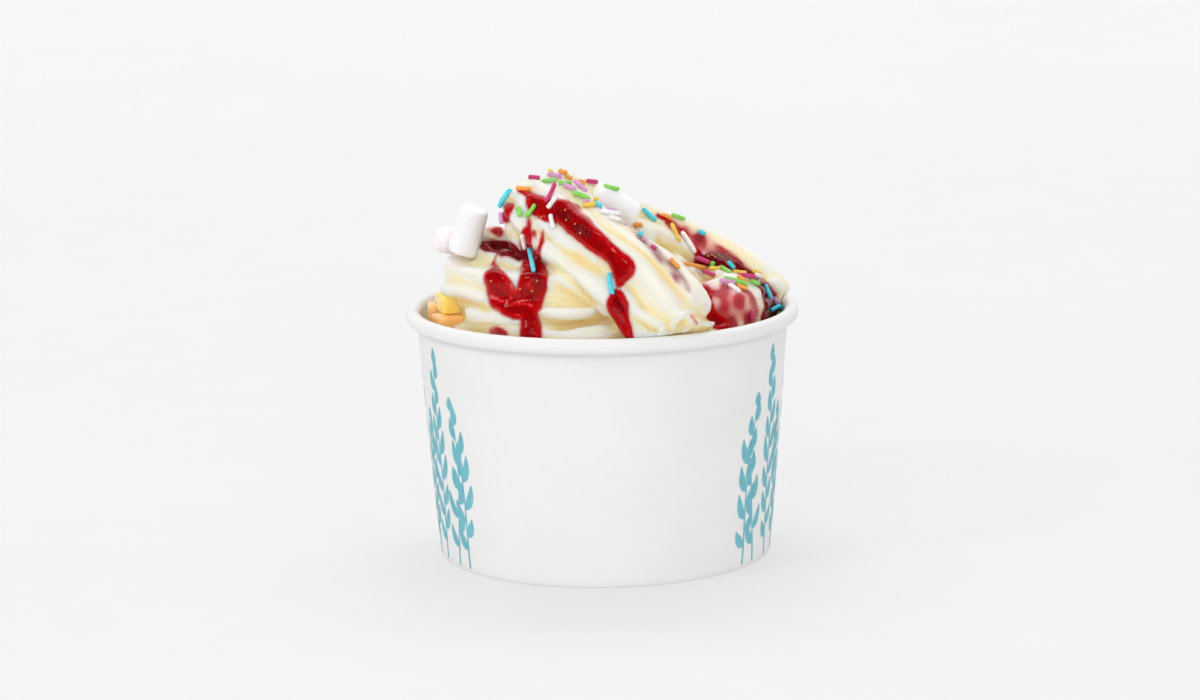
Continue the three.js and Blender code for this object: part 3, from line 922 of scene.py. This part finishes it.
# Sauce. Streams are rows of x, y and half width in the photo's pixels, laid on whatever the camera
# sees there; depth is in mm, and behind is the least y in mm, which keeps a stream off the front rope
pixelsPerMm = 4.05
sauce = {
    "peakPool": {"rows": [(519, 191, 2), (528, 195, 4), (537, 205, 10.5), (549, 211, 11),
                          (562, 212, 12)], "depth": 0.5},
    "frontRun": {"rows": [(562, 212, 12), (573, 222, 11.5), (584, 232, 11), (600, 246, 9.5),
                          (614, 258, 10), (624, 268, 12), (619, 284, 3)], "depth": 0.55},
    "lowerPatch": {"rows": [(618, 295, 5), (617.5, 305, 11), (620, 316, 8), (625, 326, 5.5),
                            (630, 336, 3.5)], "depth": 0.6},
    "leftDrip": {"rows": [(529, 219, 1.8), (529, 232, 2.0), (527, 244, 3.8), (527, 260, 4.5),
                          (525, 278, 6)], "depth": 0.5},
    "leftSplit": {"rows": [(526, 228, 0.9), (521, 240, 1.2), (523, 252, 1.6),
                           (527, 262, 3)], "depth": 0.35},
    "rightDrip": {"rows": [(543, 231, 1.5), (542, 241, 2.4), (539, 250, 2.2), (537, 261, 2.4),
                           (541, 272, 6)], "depth": 0.4},
    "centrePatch": {"rows": [(536, 271, 10.5), (533, 286, 15), (529, 302, 14)], "depth": 0.7},
    "leftPatch": {"rows": [(495, 271, 5), (497, 284, 13.5), (503, 297, 15), (514, 306, 13),
                           (528, 309, 11)], "depth": 0.6},
    "moundPulp": {"rows": [(706, 289, 4), (709, 303, 6), (712, 318, 10),
                           (722, 328, 9)], "depth": 0.25, "behind": -29.0},
    "thread": {"rows": [(496, 255, 1.2), (493, 262, 1.2), (494, 268, 1.4),
                        (498, 276, 3)], "depth": 0.4},
    "rimDrip": {"rows": [(528, 308, 9), (530, 322, 9.5), (530, 338, 10)], "depth": 0.8},
    "hollowPool": {"rows": [(486, 246, 6), (498, 247, 8), (510, 250, 8), (522, 257, 4)], "depth": 0.5},
    "foldPatch": {"rows": [(509, 208, 4), (506, 219, 3.5)], "depth": 0.6},
    "valleyThread": {"rows": [(658, 215, 1.5), (676, 225, 2.2), (687, 234, 2.6),
                              (699, 255, 4)], "depth": 0.6},
    "valleyPool": {"rows": [(699, 262, 5), (716, 258, 8), (734, 263, 6), (748, 272, 4), (762, 284, 4),
                            (770, 298, 6)], "depth": 0.6},
    "rightPool": {"rows": [(769, 297, 6), (772, 308, 8), (767, 319, 6)], "depth": 0.8},
}
# Films only tint the yogurt, in red or in wine
films = {
    "hollow": {"rows": [(488, 230, 4), (499, 232, 8)]},
    "hollowSide": {"rows": [(486, 240, 5), (494, 243, 6)], "wine": True},
    "farStrip": {"rows": [(612, 217, 1.5), (630, 226, 2.4), (644, 240, 3.2), (660, 255, 4.2),
                          (673, 270, 5.2), (690, 292, 3)], "wine": True},
    "dripBlush": {"rows": [(534, 232, 3), (534, 262, 4)]},
    "mound": {"rows": [(706, 290, 10), (722, 294, 12), (744, 304, 15), (744, 320, 14), (722, 322, 14),
                       (712, 306, 14), (727, 306, 16)], "behind": -29.0},
    "rimSmear": {"rows": [(495, 331, 6), (504, 334, 5)]},
    "endSmear": {"rows": [(692, 316, 3), (697, 323, 2)]},
    "valleySmear": {"rows": [(668, 222, 5), (700, 240, 9), (716, 252, 9), (745, 270, 7)]},
    "peakSmear": {"rows": [(568, 201, 3), (577, 206, 4), (590, 222, 2)]},
}
# Dark clots of berry in the front run
clots = {
    "first": [(562, 214, 3.5), (568, 220, 4)],
    "second": [(577, 228, 4), (589, 234, 3.5)],
    "centre": [(536, 274, 2.5), (543, 285, 2)],
    "lower": [(616, 302, 2.5), (622, 308, 2)],
}
darkPools = ("hollowPool", "valleyPool", "rightPool")
# Places over the yogurt's crests where the sauce is painted paler and pinker, partly as thin sauce and
# partly as a painted highlight
thinSauceAndHighlights = {
    "leftCrest": [(489, 295, 1.5), (497, 299, 3), (507, 303, 1.5)],
    "centreCrest": [(512, 306, 2), (522, 303, 3), (533, 307, 2)],
    "notch": [(513, 283, 1.2), (512, 300, 1.5)],
    "centreStreak": [(529, 283, 2), (533, 289, 1.5)],
}
# Runs at the back: rows of x, y and half width in mm, seen from above
backRuns = {
    "backRun": {"rows": [(-12, 10, 1.6), (-7, 16, 2.4), (-1, 23, 2.2), (3, 30, 3)], "depth": 1.1},
    "backDrip": {"rows": [(14, 22, 1.6), (16, 28, 1.8), (14, 35, 2.6)], "depth": 0.9},
    "leftRun": {"rows": [(-22, 6, 1.8), (-29, 14, 2.2), (-33, 20, 2.6)], "depth": 0.9},
}


# Which points see the camera, and which see the sky, past the yogurt itself
def openPoints(points, normals, tree, chosen, towards):
    seen = np.zeros(len(points), dtype=bool)
    for k in np.flatnonzero(chosen):
        start = Vector(points[k] + normals[k] * 0.35)
        aim = (towards - start).normalized() if towards else Vector((0, 0, 1))
        if aim.dot(Vector(normals[k])) < -0.25:
            continue
        seen[k] = tree.ray_cast(start + aim * 0.3, aim)[0] is None
    return seen


# At each point: the sauce's thickness in mm, below zero where there is none, how far inside a stream
# the point lies, and how strongly the red and the wine films tint it
def sauceFields(points, normals, edges, tree):
    edge = waviness(points, 8.0, 21) * 0.3 + waviness(points, 3.5, 22) * 0.08
    pixels = toPixels(points)
    reach = {name: streamReach(pixels, stream["rows"]) / pixelsPerMm for name, stream in sauce.items()}
    filmReach = {name: streamReach(pixels, stream["rows"]) / pixelsPerMm for name, stream in films.items()}
    for group, streams in ((reach, sauce), (filmReach, films)):
        for name in [name for name in streams if "behind" in streams[name]]:
            group[name] = np.minimum(group[name], points[:, 1] - streams[name]["behind"])
    above = {name: streamReach(points[:, :2], stream["rows"]) for name, stream in backRuns.items()}
    near = np.max([*reach.values(), *filmReach.values()], axis=0) > -2.5
    nearAbove = np.max(list(above.values()), axis=0) > -2.0
    seen = openPoints(points, normals, tree, near, cameraPlace.translation / mm).astype(float)
    toSky = openPoints(points, normals, tree, nearAbove, None).astype(float)
    seen = (relaxed(seen[:, None], edges, 5)[:, 0] - 0.45) * 6.0
    toSky = (relaxed(toSky[:, None], edges, 5)[:, 0] - 0.45) * 6.0
    thickness = np.full(len(points), -1.0)
    inside = np.full(len(points), -5.0)
    for group, mask, streams in ((reach, seen, sauce), (above, toSky, backRuns)):
        for name, values in group.items():
            values = np.minimum(values + edge, mask)
            profile = np.sin(math.pi / 2 * np.clip(values / 1.3, 0, 1)) ** 0.8
            thickness = np.maximum(thickness, np.where(values > 0, streams[name]["depth"] * profile, -1.0))
            inside = np.maximum(inside, values)
    red = [values for name, values in filmReach.items() if "wine" not in films[name]]
    wine = [values for name, values in filmReach.items() if "wine" in films[name]]
    streaks = np.clip(0.66 + 0.3 * waviness(points, 6.0, 31), 0.3, 1)
    stain = smoothStep(-0.7, 0.9, np.minimum(np.max(red, axis=0) + edge, seen)) * streaks
    stain = np.maximum(0.7 * smoothStep(-0.8, 0.3, inside), stain)
    wine = smoothStep(-0.5, 0.5, np.minimum(np.max(wine, axis=0) + edge, seen)) * streaks
    return thickness, inside, np.clip(stain, 0, 1), np.clip(wine, 0, 1)


swirlPoints, swirlNormals, swirlEdges = meshArrays(swirlMesh)
swirlTree = treeOf(swirlMesh, swirlPoints)
_, inside, stain, wine = sauceFields(swirlPoints, swirlNormals, swirlEdges, swirlTree)
storeValue(swirlMesh, "stain", stain)
storeValue(swirlMesh, "wine", wine)


def makeYogurtLook():
    look, tree, shader = newLook("softYogurt")
    place = placeVector(tree)
    strand = attribute(tree, "strand", "Vector")
    streak = grain(tree, strand, 0.9, 4.2, 0.55)
    swing = mapRange(tree, streak, 0.35, 0.65, -0.07, 0.07)
    # Painted shade: the crease value ramps the cream towards deep yellow, with seeded streaks along the
    # ropes
    tone = ramp(tree, combine(tree, "ADD", attribute(tree, "crease"), swing),
                [(0.0, (0.84, 0.825, 0.765)), (0.28, (0.88, 0.825, 0.67)), (0.6, (0.97, 0.82, 0.48)),
                 (1.0, (0.98, 0.74, 0.32))])
    cloud = grain(tree, place, 60.0, 420.0, 0.35)
    mist = ramp(tree, cloud, [(0.3, (0.9, 0.78, 0.5)), (0.7, (0.96, 0.93, 0.84))])
    color = mixColor(tree, 0.12, tone, mist)
    blush = ramp(tree, attribute(tree, "stain"),
                 [(0.0, (0.90, 0.60, 0.50)), (0.4, (0.70, 0.16, 0.15)), (0.75, (0.50, 0.02, 0.03)),
                  (1.0, (0.40, 0.004, 0.012))])
    cover = addNode(tree, "ShaderNodeMath", {0: attribute(tree, "stain"), 1: 1.5}, operation="MULTIPLY",
                    use_clamp=True)
    color = mixColor(tree, cover.outputs["Value"], color, blush)
    color = mixColor(tree, attribute(tree, "wine"), color, (0.32, 0.085, 0.115))
    tree.links.new(color, shader.inputs["Base Color"])
    wet = mapRange(tree, attribute(tree, "stain"), 0.1, 0.6, 0.4, 0.14)
    tree.links.new(wet, shader.inputs["Roughness"])
    pores = grain(tree, place, 900.0, 2600.0, 0.5)
    first = addNode(tree, "ShaderNodeBump", {"Height": streak, "Strength": 0.8, "Distance": 0.0009})
    second = addNode(tree, "ShaderNodeBump", {"Height": pores, "Strength": 0.1, "Distance": 0.0001,
                                              "Normal": first.outputs["Normal"]})
    tree.links.new(second.outputs["Normal"], shader.inputs["Normal"])
    setInputs(shader, {"Subsurface Weight": 0.85, "Subsurface Radius": (1.0, 0.7, 0.35),
                       "Subsurface Scale": 0.0055, "Coat Weight": 0.2, "Coat Roughness": 0.14})
    return look


addPiece("yogurtSwirl", swirlMesh, makeYogurtLook(), ["frozen_yogurt"])


# The plain body of yogurt that fills the cup below the swirl
def makeYogurtBody(look):
    floor = cup["recess"] + cup["paper"] + cup["gap"]
    top = swirl["cutHeight"]
    profile = np.concatenate([
        rowsBetween((0.01, floor), (innerRadius(floor) - 0.3, floor), 8),
        rowsBetween((innerRadius(floor) - 0.3, floor), (innerRadius(top) - 0.3, top), 16),
        rowsBetween((innerRadius(top) - 0.3, top), (0.01, top), 8),
        [(0.01, top)],
    ])
    points, quads = turnedGrid(profile, 96, True)
    mesh = makeMesh("yogurtBody", points.reshape(-1, 3), quads, weld=True)
    return addPiece("yogurtBody", mesh, look, ["frozen_yogurt"])


makeYogurtBody(bpy.data.materials["softYogurt"])


def makeSauceLook():
    look, tree, shader = newLook("berrySauce")
    place = placeVector(tree)
    depth = attribute(tree, "depth")
    pulp = grain(tree, place, 260.0, 1100.0, 0.4)
    swing = mapRange(tree, pulp, 0.35, 0.65, -0.22, 0.26)
    color = ramp(tree, combine(tree, "ADD", depth, swing),
                 [(0.0, (0.66, 0.09, 0.09)), (0.12, (0.50, 0.004, 0.007)), (0.5, (0.46, 0.0002, 0.002)),
                  (0.9, (0.38, 0.0002, 0.001)), (1.0, (0.27, 0.0002, 0.001))])
    wine = ramp(tree, pulp, [(0.3, (0.045, 0.0004, 0.002)), (0.7, (0.17, 0.0015, 0.005))])
    color = mixColor(tree, attribute(tree, "dark"), color, wine)
    tree.links.new(color, shader.inputs["Base Color"])
    tree.links.new(bump(tree, pulp, 0.14, 0.0002), shader.inputs["Normal"])
    setInputs(shader, {"Roughness": 0.1, "Specular IOR Level": 0.17, "Subsurface Weight": 0.1,
                       "Subsurface Radius": (1.0, 0.02, 0.02), "Subsurface Scale": 0.0012})
    return look


# The sauce is a finer copy of the yogurt's skin under the streams, lifted by its thickness
def makeSauce(look):
    work = bmesh.new()
    work.from_mesh(swirlMesh)
    far = [vertex for vertex, value in zip(work.verts, inside) if value < -1.0]
    bmesh.ops.delete(work, geom=far, context="VERTS")
    loose = [vertex for vertex in work.verts if not vertex.link_faces]
    bmesh.ops.delete(work, geom=loose, context="VERTS")
    mesh = bpy.data.meshes.new("berrySauce")
    work.to_mesh(mesh)
    work.free()
    for layer in ("crease", "strand", "stain", "wine"):
        mesh.attributes.remove(mesh.attributes[layer])
    piece = bpy.data.objects.new("sauceWork", mesh)
    link(piece)
    finer = piece.modifiers.new("finer", "SUBSURF")
    finer.levels = finer.render_levels = 1
    fine = bpy.data.meshes.new_from_object(piece.evaluated_get(bpy.context.evaluated_depsgraph_get()))
    bpy.data.objects.remove(piece)
    points, normals, edges = meshArrays(fine)
    thick, reach, _, _ = sauceFields(points, normals, edges, swirlTree)
    pixels = toPixels(points)
    clot = smoothStep(-2.5, 2.5, widestReach(pixels, clots.values()) + 1.5 * waviness(points, 2.6, 43))
    lift = relaxed(np.where(thick > 0, 0.12 + thick, -0.5)[:, None], edges, 5)[:, 0]
    lift = lift * (1 + 0.1 * waviness(points, 5.0, 41))
    lift += 0.16 * clot * waviness(points, 1.7, 44) * (thick > 0.2)
    points = insideCup(points + normals * np.maximum(lift, -0.6)[:, None])
    # Paler, pinker sauce at these places, partly a painted highlight on the crests
    thin = widestReach(pixels, thinSauceAndHighlights.values()) + waviness(points, 1.6, 45)
    depth = smoothStep(-0.25, 1.6, relaxed(reach[:, None], edges, 3)[:, 0])
    storeValue(fine, "depth", depth * (1 - smoothStep(-2.0, 2.0, thin)))
    shade = widestReach(pixels, [sauce[name]["rows"] for name in darkPools])
    storeValue(fine, "dark", np.maximum(smoothStep(-6, 0, shade) * 0.85, 0.75 * clot))
    movePoints(fine, points)
    piece = addPiece("berrySauce", fine, look, ["frozen_yogurt"])
    skin = piece.modifiers.new("closed", "SOLIDIFY")
    skin.thickness = 0.12 * mm
    skin.offset = -1
    return treeOf(fine, points)


sauceTree = makeSauce(makeSauceLook())


# The first surface met along a line: a point, its normal and its distance
def firstHit(origin, direction):
    best = None
    for tree in (swirlTree, sauceTree, *marshmallowTrees):
        place, normal, _, distance = tree.ray_cast(Vector(origin), Vector(direction))
        if place is not None and (best is None or distance < best[2]):
            best = (place, normal, distance)
    return best


# Golden seeds in the sauce, in the photo's pixels, set where it glints; their bright orange is partly a
# painted glint
seedGlints = {
    "spots": [(541, 217), (565, 210), (566, 220), (575, 224), (491, 281), (532, 291), (520, 289),
              (708, 256), (712, 255), (715, 257), (719, 255), (722, 257), (726, 262), (711, 289),
              (741, 293), (745, 295), (773, 304), (768, 312), (580, 233), (537, 281)],
    "size": (0.32, 0.2, 0.15),
}


# A small ellipsoid on the surface: a unit ball stretched along two tangents and the normal
def pebbleGrid(centre, normal, size, turn, rings, around):
    points, quads = ballGrid((0, 0, 0), 1.0, rings, around)
    first = np.cross(normal, (0.3, 0.5, 0.8))
    first /= np.linalg.norm(first)
    second = np.cross(normal, first)
    axes = np.stack([math.cos(turn) * first + math.sin(turn) * second,
                     math.cos(turn) * second - math.sin(turn) * first, normal])
    return (points * np.asarray(size)) @ axes + centre, quads


def makeSeedGlints():
    # Bright orange seeds, partly a painted glint
    golden = speckledLook("berrySeedGlint", (900.0, 2500.0, 0.5), (0.3, (0.62, 0.20, 0.02)),
                          (0.7, (0.9, 0.45, 0.07)), {"Roughness": 0.2})
    grids = []
    for x, y in seedGlints["spots"]:
        hit = firstHit(*sightLine(x, y))
        if hit is None or sauceTree.find_nearest(hit[0])[3] > 0.05:
            continue
        grids.append(pebbleGrid(np.array(hit[0]), np.array(hit[1]), seedGlints["size"], dice.uniform(0, math.pi),
                                6, 8))
    points, quads = joinGrids(grids)
    addPiece("berrySeedGlints", makeMesh("berrySeedGlints", points, quads, weld=True), golden,
             ["frozen_yogurt"])


makeSeedGlints()
print("sauce laid")

# Sprinkles: ends in the photo's pixels, by colour
sprinkles = {
    "radius": 0.58,
    "scattered": 46,  # tries at the back
    "cyan": [(511, 189, 499, 208), (529, 249, 534, 273), (609, 273, 613, 295), (596, 203, 601, 208),
             (642, 209, 656, 222), (698, 231, 705, 235), (727, 262, 734, 269), (765, 284, 771, 299),
             (770, 310, 779, 305), (778, 305, 785, 309), (638, 234, 642, 236)],
    "green": [(542, 182, 557, 180), (558, 184, 572, 184), (536, 204, 526, 217), (517, 208, 521, 217),
              (572, 193, 590, 200), (603, 186, 619, 190), (671, 212, 685, 217), (713, 261, 712, 267),
              (720, 267, 730, 273), (723, 278, 748, 285), (749, 280, 758, 285), (777, 313, 781, 313)],
    "orange": [(515, 189, 531, 190), (558, 171, 567, 174), (565, 176, 572, 180), (578, 182, 585, 184),
               (661, 215, 671, 220), (670, 259, 679, 269), (684, 263, 707, 268), (737, 276, 747, 282),
               (736, 285, 747, 290), (634, 226, 643, 226)],
    "yellow": [(548, 171, 553, 171), (583, 207, 596, 205), (671, 224, 679, 243), (709, 270, 721, 270),
               (733, 271, 747, 273), (753, 271, 761, 275), (593, 200, 598, 201)],
    "magenta": [(528, 173, 540, 174), (556, 183, 546, 203), (586, 182, 597, 183), (650, 247, 656, 250),
                (696, 257, 710, 263), (704, 272, 715, 276), (740, 276, 756, 278), (751, 310, 751, 321)],
    "lilac": [(499, 212, 500, 224), (547, 174, 562, 177), (563, 185, 576, 191), (573, 181, 586, 192),
              (583, 203, 590, 202), (600, 209, 616, 210), (719, 281, 735, 284), (774, 298, 776, 303),
              (643, 240, 646, 241)],
    "white": [(558, 196, 548, 209), (551, 214, 554, 228), (523, 234, 526, 249), (600, 212, 621, 215),
              (609, 217, 621, 221), (681, 232, 695, 254), (728, 285, 740, 293), (755, 276, 760, 278)],
}
sprinkleColors = {
    "cyan": (0.03, 0.68, 0.86), "green": (0.24, 0.70, 0.09), "orange": (0.95, 0.36, 0.03),
    "yellow": (0.93, 0.62, 0.04), "magenta": (0.62, 0.01, 0.16), "lilac": (0.72, 0.32, 0.62),
    "white": (0.9, 0.89, 0.9),
}


# A short rod with round ends and a slight bend: rings of a circle along an arc
def rodGrid(start, end, normal, radius, bend):
    axis = end - start
    length = np.linalg.norm(axis)
    axis = axis / max(length, 1e-6)
    side = np.cross(normal, axis)
    side /= np.linalg.norm(side)
    rise = np.cross(axis, side)
    along = np.array([0.0, 0.02, 0.09, 0.3, 0.7, 0.91, 0.98, 1.0])
    size = np.array([0.0, 0.6, 1.0, 1.0, 1.0, 1.0, 0.6, 0.0]) * radius
    turn = np.linspace(0, 2 * math.pi, 8, endpoint=False)
    spine = start + np.outer(along * length, axis) + np.outer(bend * np.sin(math.pi * along), side)
    points = (spine[:, None, :] + np.cos(turn)[None, :, None] * side * size[:, None, None]
              + np.sin(turn)[None, :, None] * rise * size[:, None, None])
    return points, gridQuads(len(along), 8)


def sprinkleBetween(start, end, normal, lift):
    raised = np.asarray(normal) * lift
    radius = sprinkles["radius"] * dice.uniform(0.92, 1.08)
    return rodGrid(np.asarray(start) + raised, np.asarray(end) + raised, np.asarray(normal), radius,
                   dice.uniform(-0.25, 0.25))


# The surface at a pixel or, past the outline, at the nearest spot below it or beside it
def hitNear(x, y):
    for reach in range(14):
        for shiftX, shiftY in ((0, reach), (reach, 0), (-reach, 0)):
            hit = firstHit(*sightLine(x + shiftX, y + shiftY))
            if hit:
                return hit, shiftX, shiftY
    return None, 0, 0


# The rod lies in the plane of the first surface met; it is turned to the eye until it isn't
# stretched, and an end that would be buried rests on the surface instead
def pixelSprinkle(x0, y0, x1, y1):
    middle, shiftX, shiftY = hitNear((x0 + x1) / 2, (y0 + y1) / 2)
    if middle is None:
        return None
    place, normal = np.array(middle[0]), np.array(middle[1])
    toEye = np.array((cameraPlace.translation / mm - middle[0]).normalized())
    longest = 1.5 * math.hypot(x1 - x0, y1 - y0) / pixelsPerMm + 0.8
    for lean in (0.6, 2.0, 20.0):
        facing = normal + lean * toEye
        ends = []
        for x, y in ((x0 + shiftX, y0 + shiftY), (x1 + shiftX, y1 + shiftY)):
            origin, direction = sightLine(x, y)
            met = firstHit(origin, direction)
            origin, direction = np.array(origin), np.array(direction)
            distance = ((place - origin) @ facing) / (direction @ facing)
            ends.append(origin + direction * min(distance, met[2] + 0.1 if met else distance))
        if np.linalg.norm(ends[1] - ends[0]) < longest:
            break
    facing = (normal + 0.3 * toEye) / np.linalg.norm(normal + 0.3 * toEye)
    return sprinkleBetween(ends[0], ends[1], facing, sprinkles["radius"] * 0.55)


# More of them where the photo doesn't look: a seeded scatter over the back of the peak and valley
def scatteredSprinkles(count):
    names = list(sprinkleColors)
    found = {name: [] for name in names}
    eye = cameraPlace.translation / mm
    trail, _ = smoothPath([(-17, 2, 0), (-9, 10, 0), (5, 15, 0), (19, 18, 0), (32, 14, 0), (41, 8, 0)], 40)
    for number in range(count):
        spot = trail[dice.integers(len(trail))] + dice.normal(size=3) * (3.0, 3.4, 0)
        heading = dice.uniform(0, math.pi)
        hit = firstHit((spot[0], spot[1], 200.0), (0, 0, -1))
        if hit is None or hit[0].z < 66 or hit[1].z < 0.3:
            continue
        normal = np.array(hit[1])
        along = np.array([math.cos(heading), math.sin(heading), 0])
        along -= normal * (along @ normal)
        along *= dice.uniform(2.2, 3.2) / np.linalg.norm(along)
        centre = np.array(hit[0])
        raised = [Vector(centre + normal * 1.6 + along * share) for share in (-1, 0, 1)]
        if any(firstHit(spot, (eye - spot).normalized()) is None for spot in raised):
            continue  # the photo would show it
        found[names[number % len(names)]].append(
            sprinkleBetween(centre - along, centre + along, normal, sprinkles["radius"] * 0.55))
    return found


def makeSprinkleLook(name, color):
    dull = tuple(0.72 * value + 0.02 for value in color)
    bright = tuple(min(1.0, 1.1 * value + 0.02) for value in color)
    return speckledLook(name + "Sprinkle", (700.0, 2600.0, 0.5), (0.32, dull), (0.68, bright),
                        {"Roughness": 0.42, "Subsurface Weight": 0.15, "Subsurface Scale": 0.001},
                        (0.3, 0.0001))


def makeSprinkles():
    more = scatteredSprinkles(sprinkles["scattered"])
    for name, color in sprinkleColors.items():
        rods = [pixelSprinkle(*ends) for ends in sprinkles[name]]
        rods = [rod for rod in rods if rod is not None] + more[name]
        points, quads = joinGrids(rods)
        mesh = makeMesh(name + "Sprinkles", points, quads, weld=True)
        addPiece(name + "Sprinkles", mesh, makeSprinkleLook(name, color), ["frozen_yogurt"])


makeSprinkles()
print("sprinkles placed")

# Studio: a pale floor that curves up into a backdrop, and soft lights
studio = {
    "floorHalf": 3.0,
    "frontEdge": -1.6,
    "bendStart": 1.1,
    "bendRadius": 0.9,
    "wallHeight": 2.4,
    "tableGlow": 0.38,  # the floor is a light table
    "airSoft": 0.83,
    "airGlossy": 0.08,
    "lamps": {  # place, what it is turned to, size in metres and watts
        "keyLight": ((-0.8, -0.55, 0.75), (0, 0, 0.05), (0.25, 0.25), 1.6),
        "topLight": ((0.0, 0.1, 1.1), (0, 0, 0.05), (0.4, 0.25), 0.2),
        "backdropLight": ((0, 1.5, 2.3), (0, 1.7, 0), (3.4, 1.4), 34.0),
        "frontFill": ((-0.2, -1.3, 0.35), (0, 0, 0.05), (1.4, 0.6), 4.4),
        "rightFill": ((1.1, 0.1, 0.25), (0, 0, 0.05), (0.7, 0.5), 0.5),
        "sparkLeft": ((-0.4, -0.9, 0.75), (0, 0, 0.05), (0.05, 0.05), 0.25),
        "sparkRight": ((0.35, -0.5, 0.95), (0, 0, 0.05), (0.05, 0.05), 0.25),
    },
}


def makeStage():
    flat = np.array([[studio["frontEdge"], 0.0], [studio["bendStart"], 0.0]])
    angles = np.linspace(0, math.pi / 2, 24)
    bend = np.stack([studio["bendStart"] + studio["bendRadius"] * np.sin(angles),
                     studio["bendRadius"] * (1 - np.cos(angles))], 1)
    top = np.array([[studio["bendStart"] + studio["bendRadius"], studio["wallHeight"]]])
    line = np.concatenate([flat, bend[1:], top])
    across = np.array([-studio["floorHalf"], studio["floorHalf"]])
    points = np.stack(np.broadcast_arrays(across[None, :], line[:, :1], line[:, 1:]), -1).reshape(-1, 3)
    mesh = makeMesh("floor", points / mm, gridQuads(len(line), 2, False))
    mesh.materials.append(speckledLook(
        "paleFloor", (3.0, 40.0, 0.3), (0.2, (0.395, 0.395, 0.395)), (0.8, (0.425, 0.425, 0.425)),
        {"Emission Color": (1.0, 1.0, 1.0, 1.0), "Emission Strength": studio["tableGlow"],
         "Roughness": 0.7}))
    floor = bpy.data.objects.new("floor", mesh)
    link(floor)


def addLight(name, place, aim, size, power):
    data = bpy.data.lights.new(name, "AREA")
    data.shape = "RECTANGLE"
    data.size, data.size_y = size
    data.energy = power
    light = bpy.data.objects.new(name, data)
    light.location = place
    light.rotation_euler = (Vector(aim) - Vector(place)).to_track_quat("-Z", "Y").to_euler()
    link(light)


# The air is bright for soft light and dim in reflections, so that gloss shows the lamps
def makeLights():
    world = bpy.data.worlds.new("studioAir")
    bpy.context.scene.world = world
    world.use_nodes = True
    tree = world.node_tree
    rays = addNode(tree, "ShaderNodeLightPath")
    strength = mapRange(tree, rays.outputs["Is Glossy Ray"], 0, 1, studio["airSoft"], studio["airGlossy"])
    tree.links.new(strength, tree.nodes["Background"].inputs["Strength"])
    tree.nodes["Background"].inputs["Color"].default_value = (1.0, 1.0, 1.0, 1.0)
    for name, (place, aim, size, power) in studio["lamps"].items():
        addLight(name, place, aim, size, power)


makeStage()
makeLights()
bpy.context.scene.view_settings.view_transform = "Standard"
print("studio set")
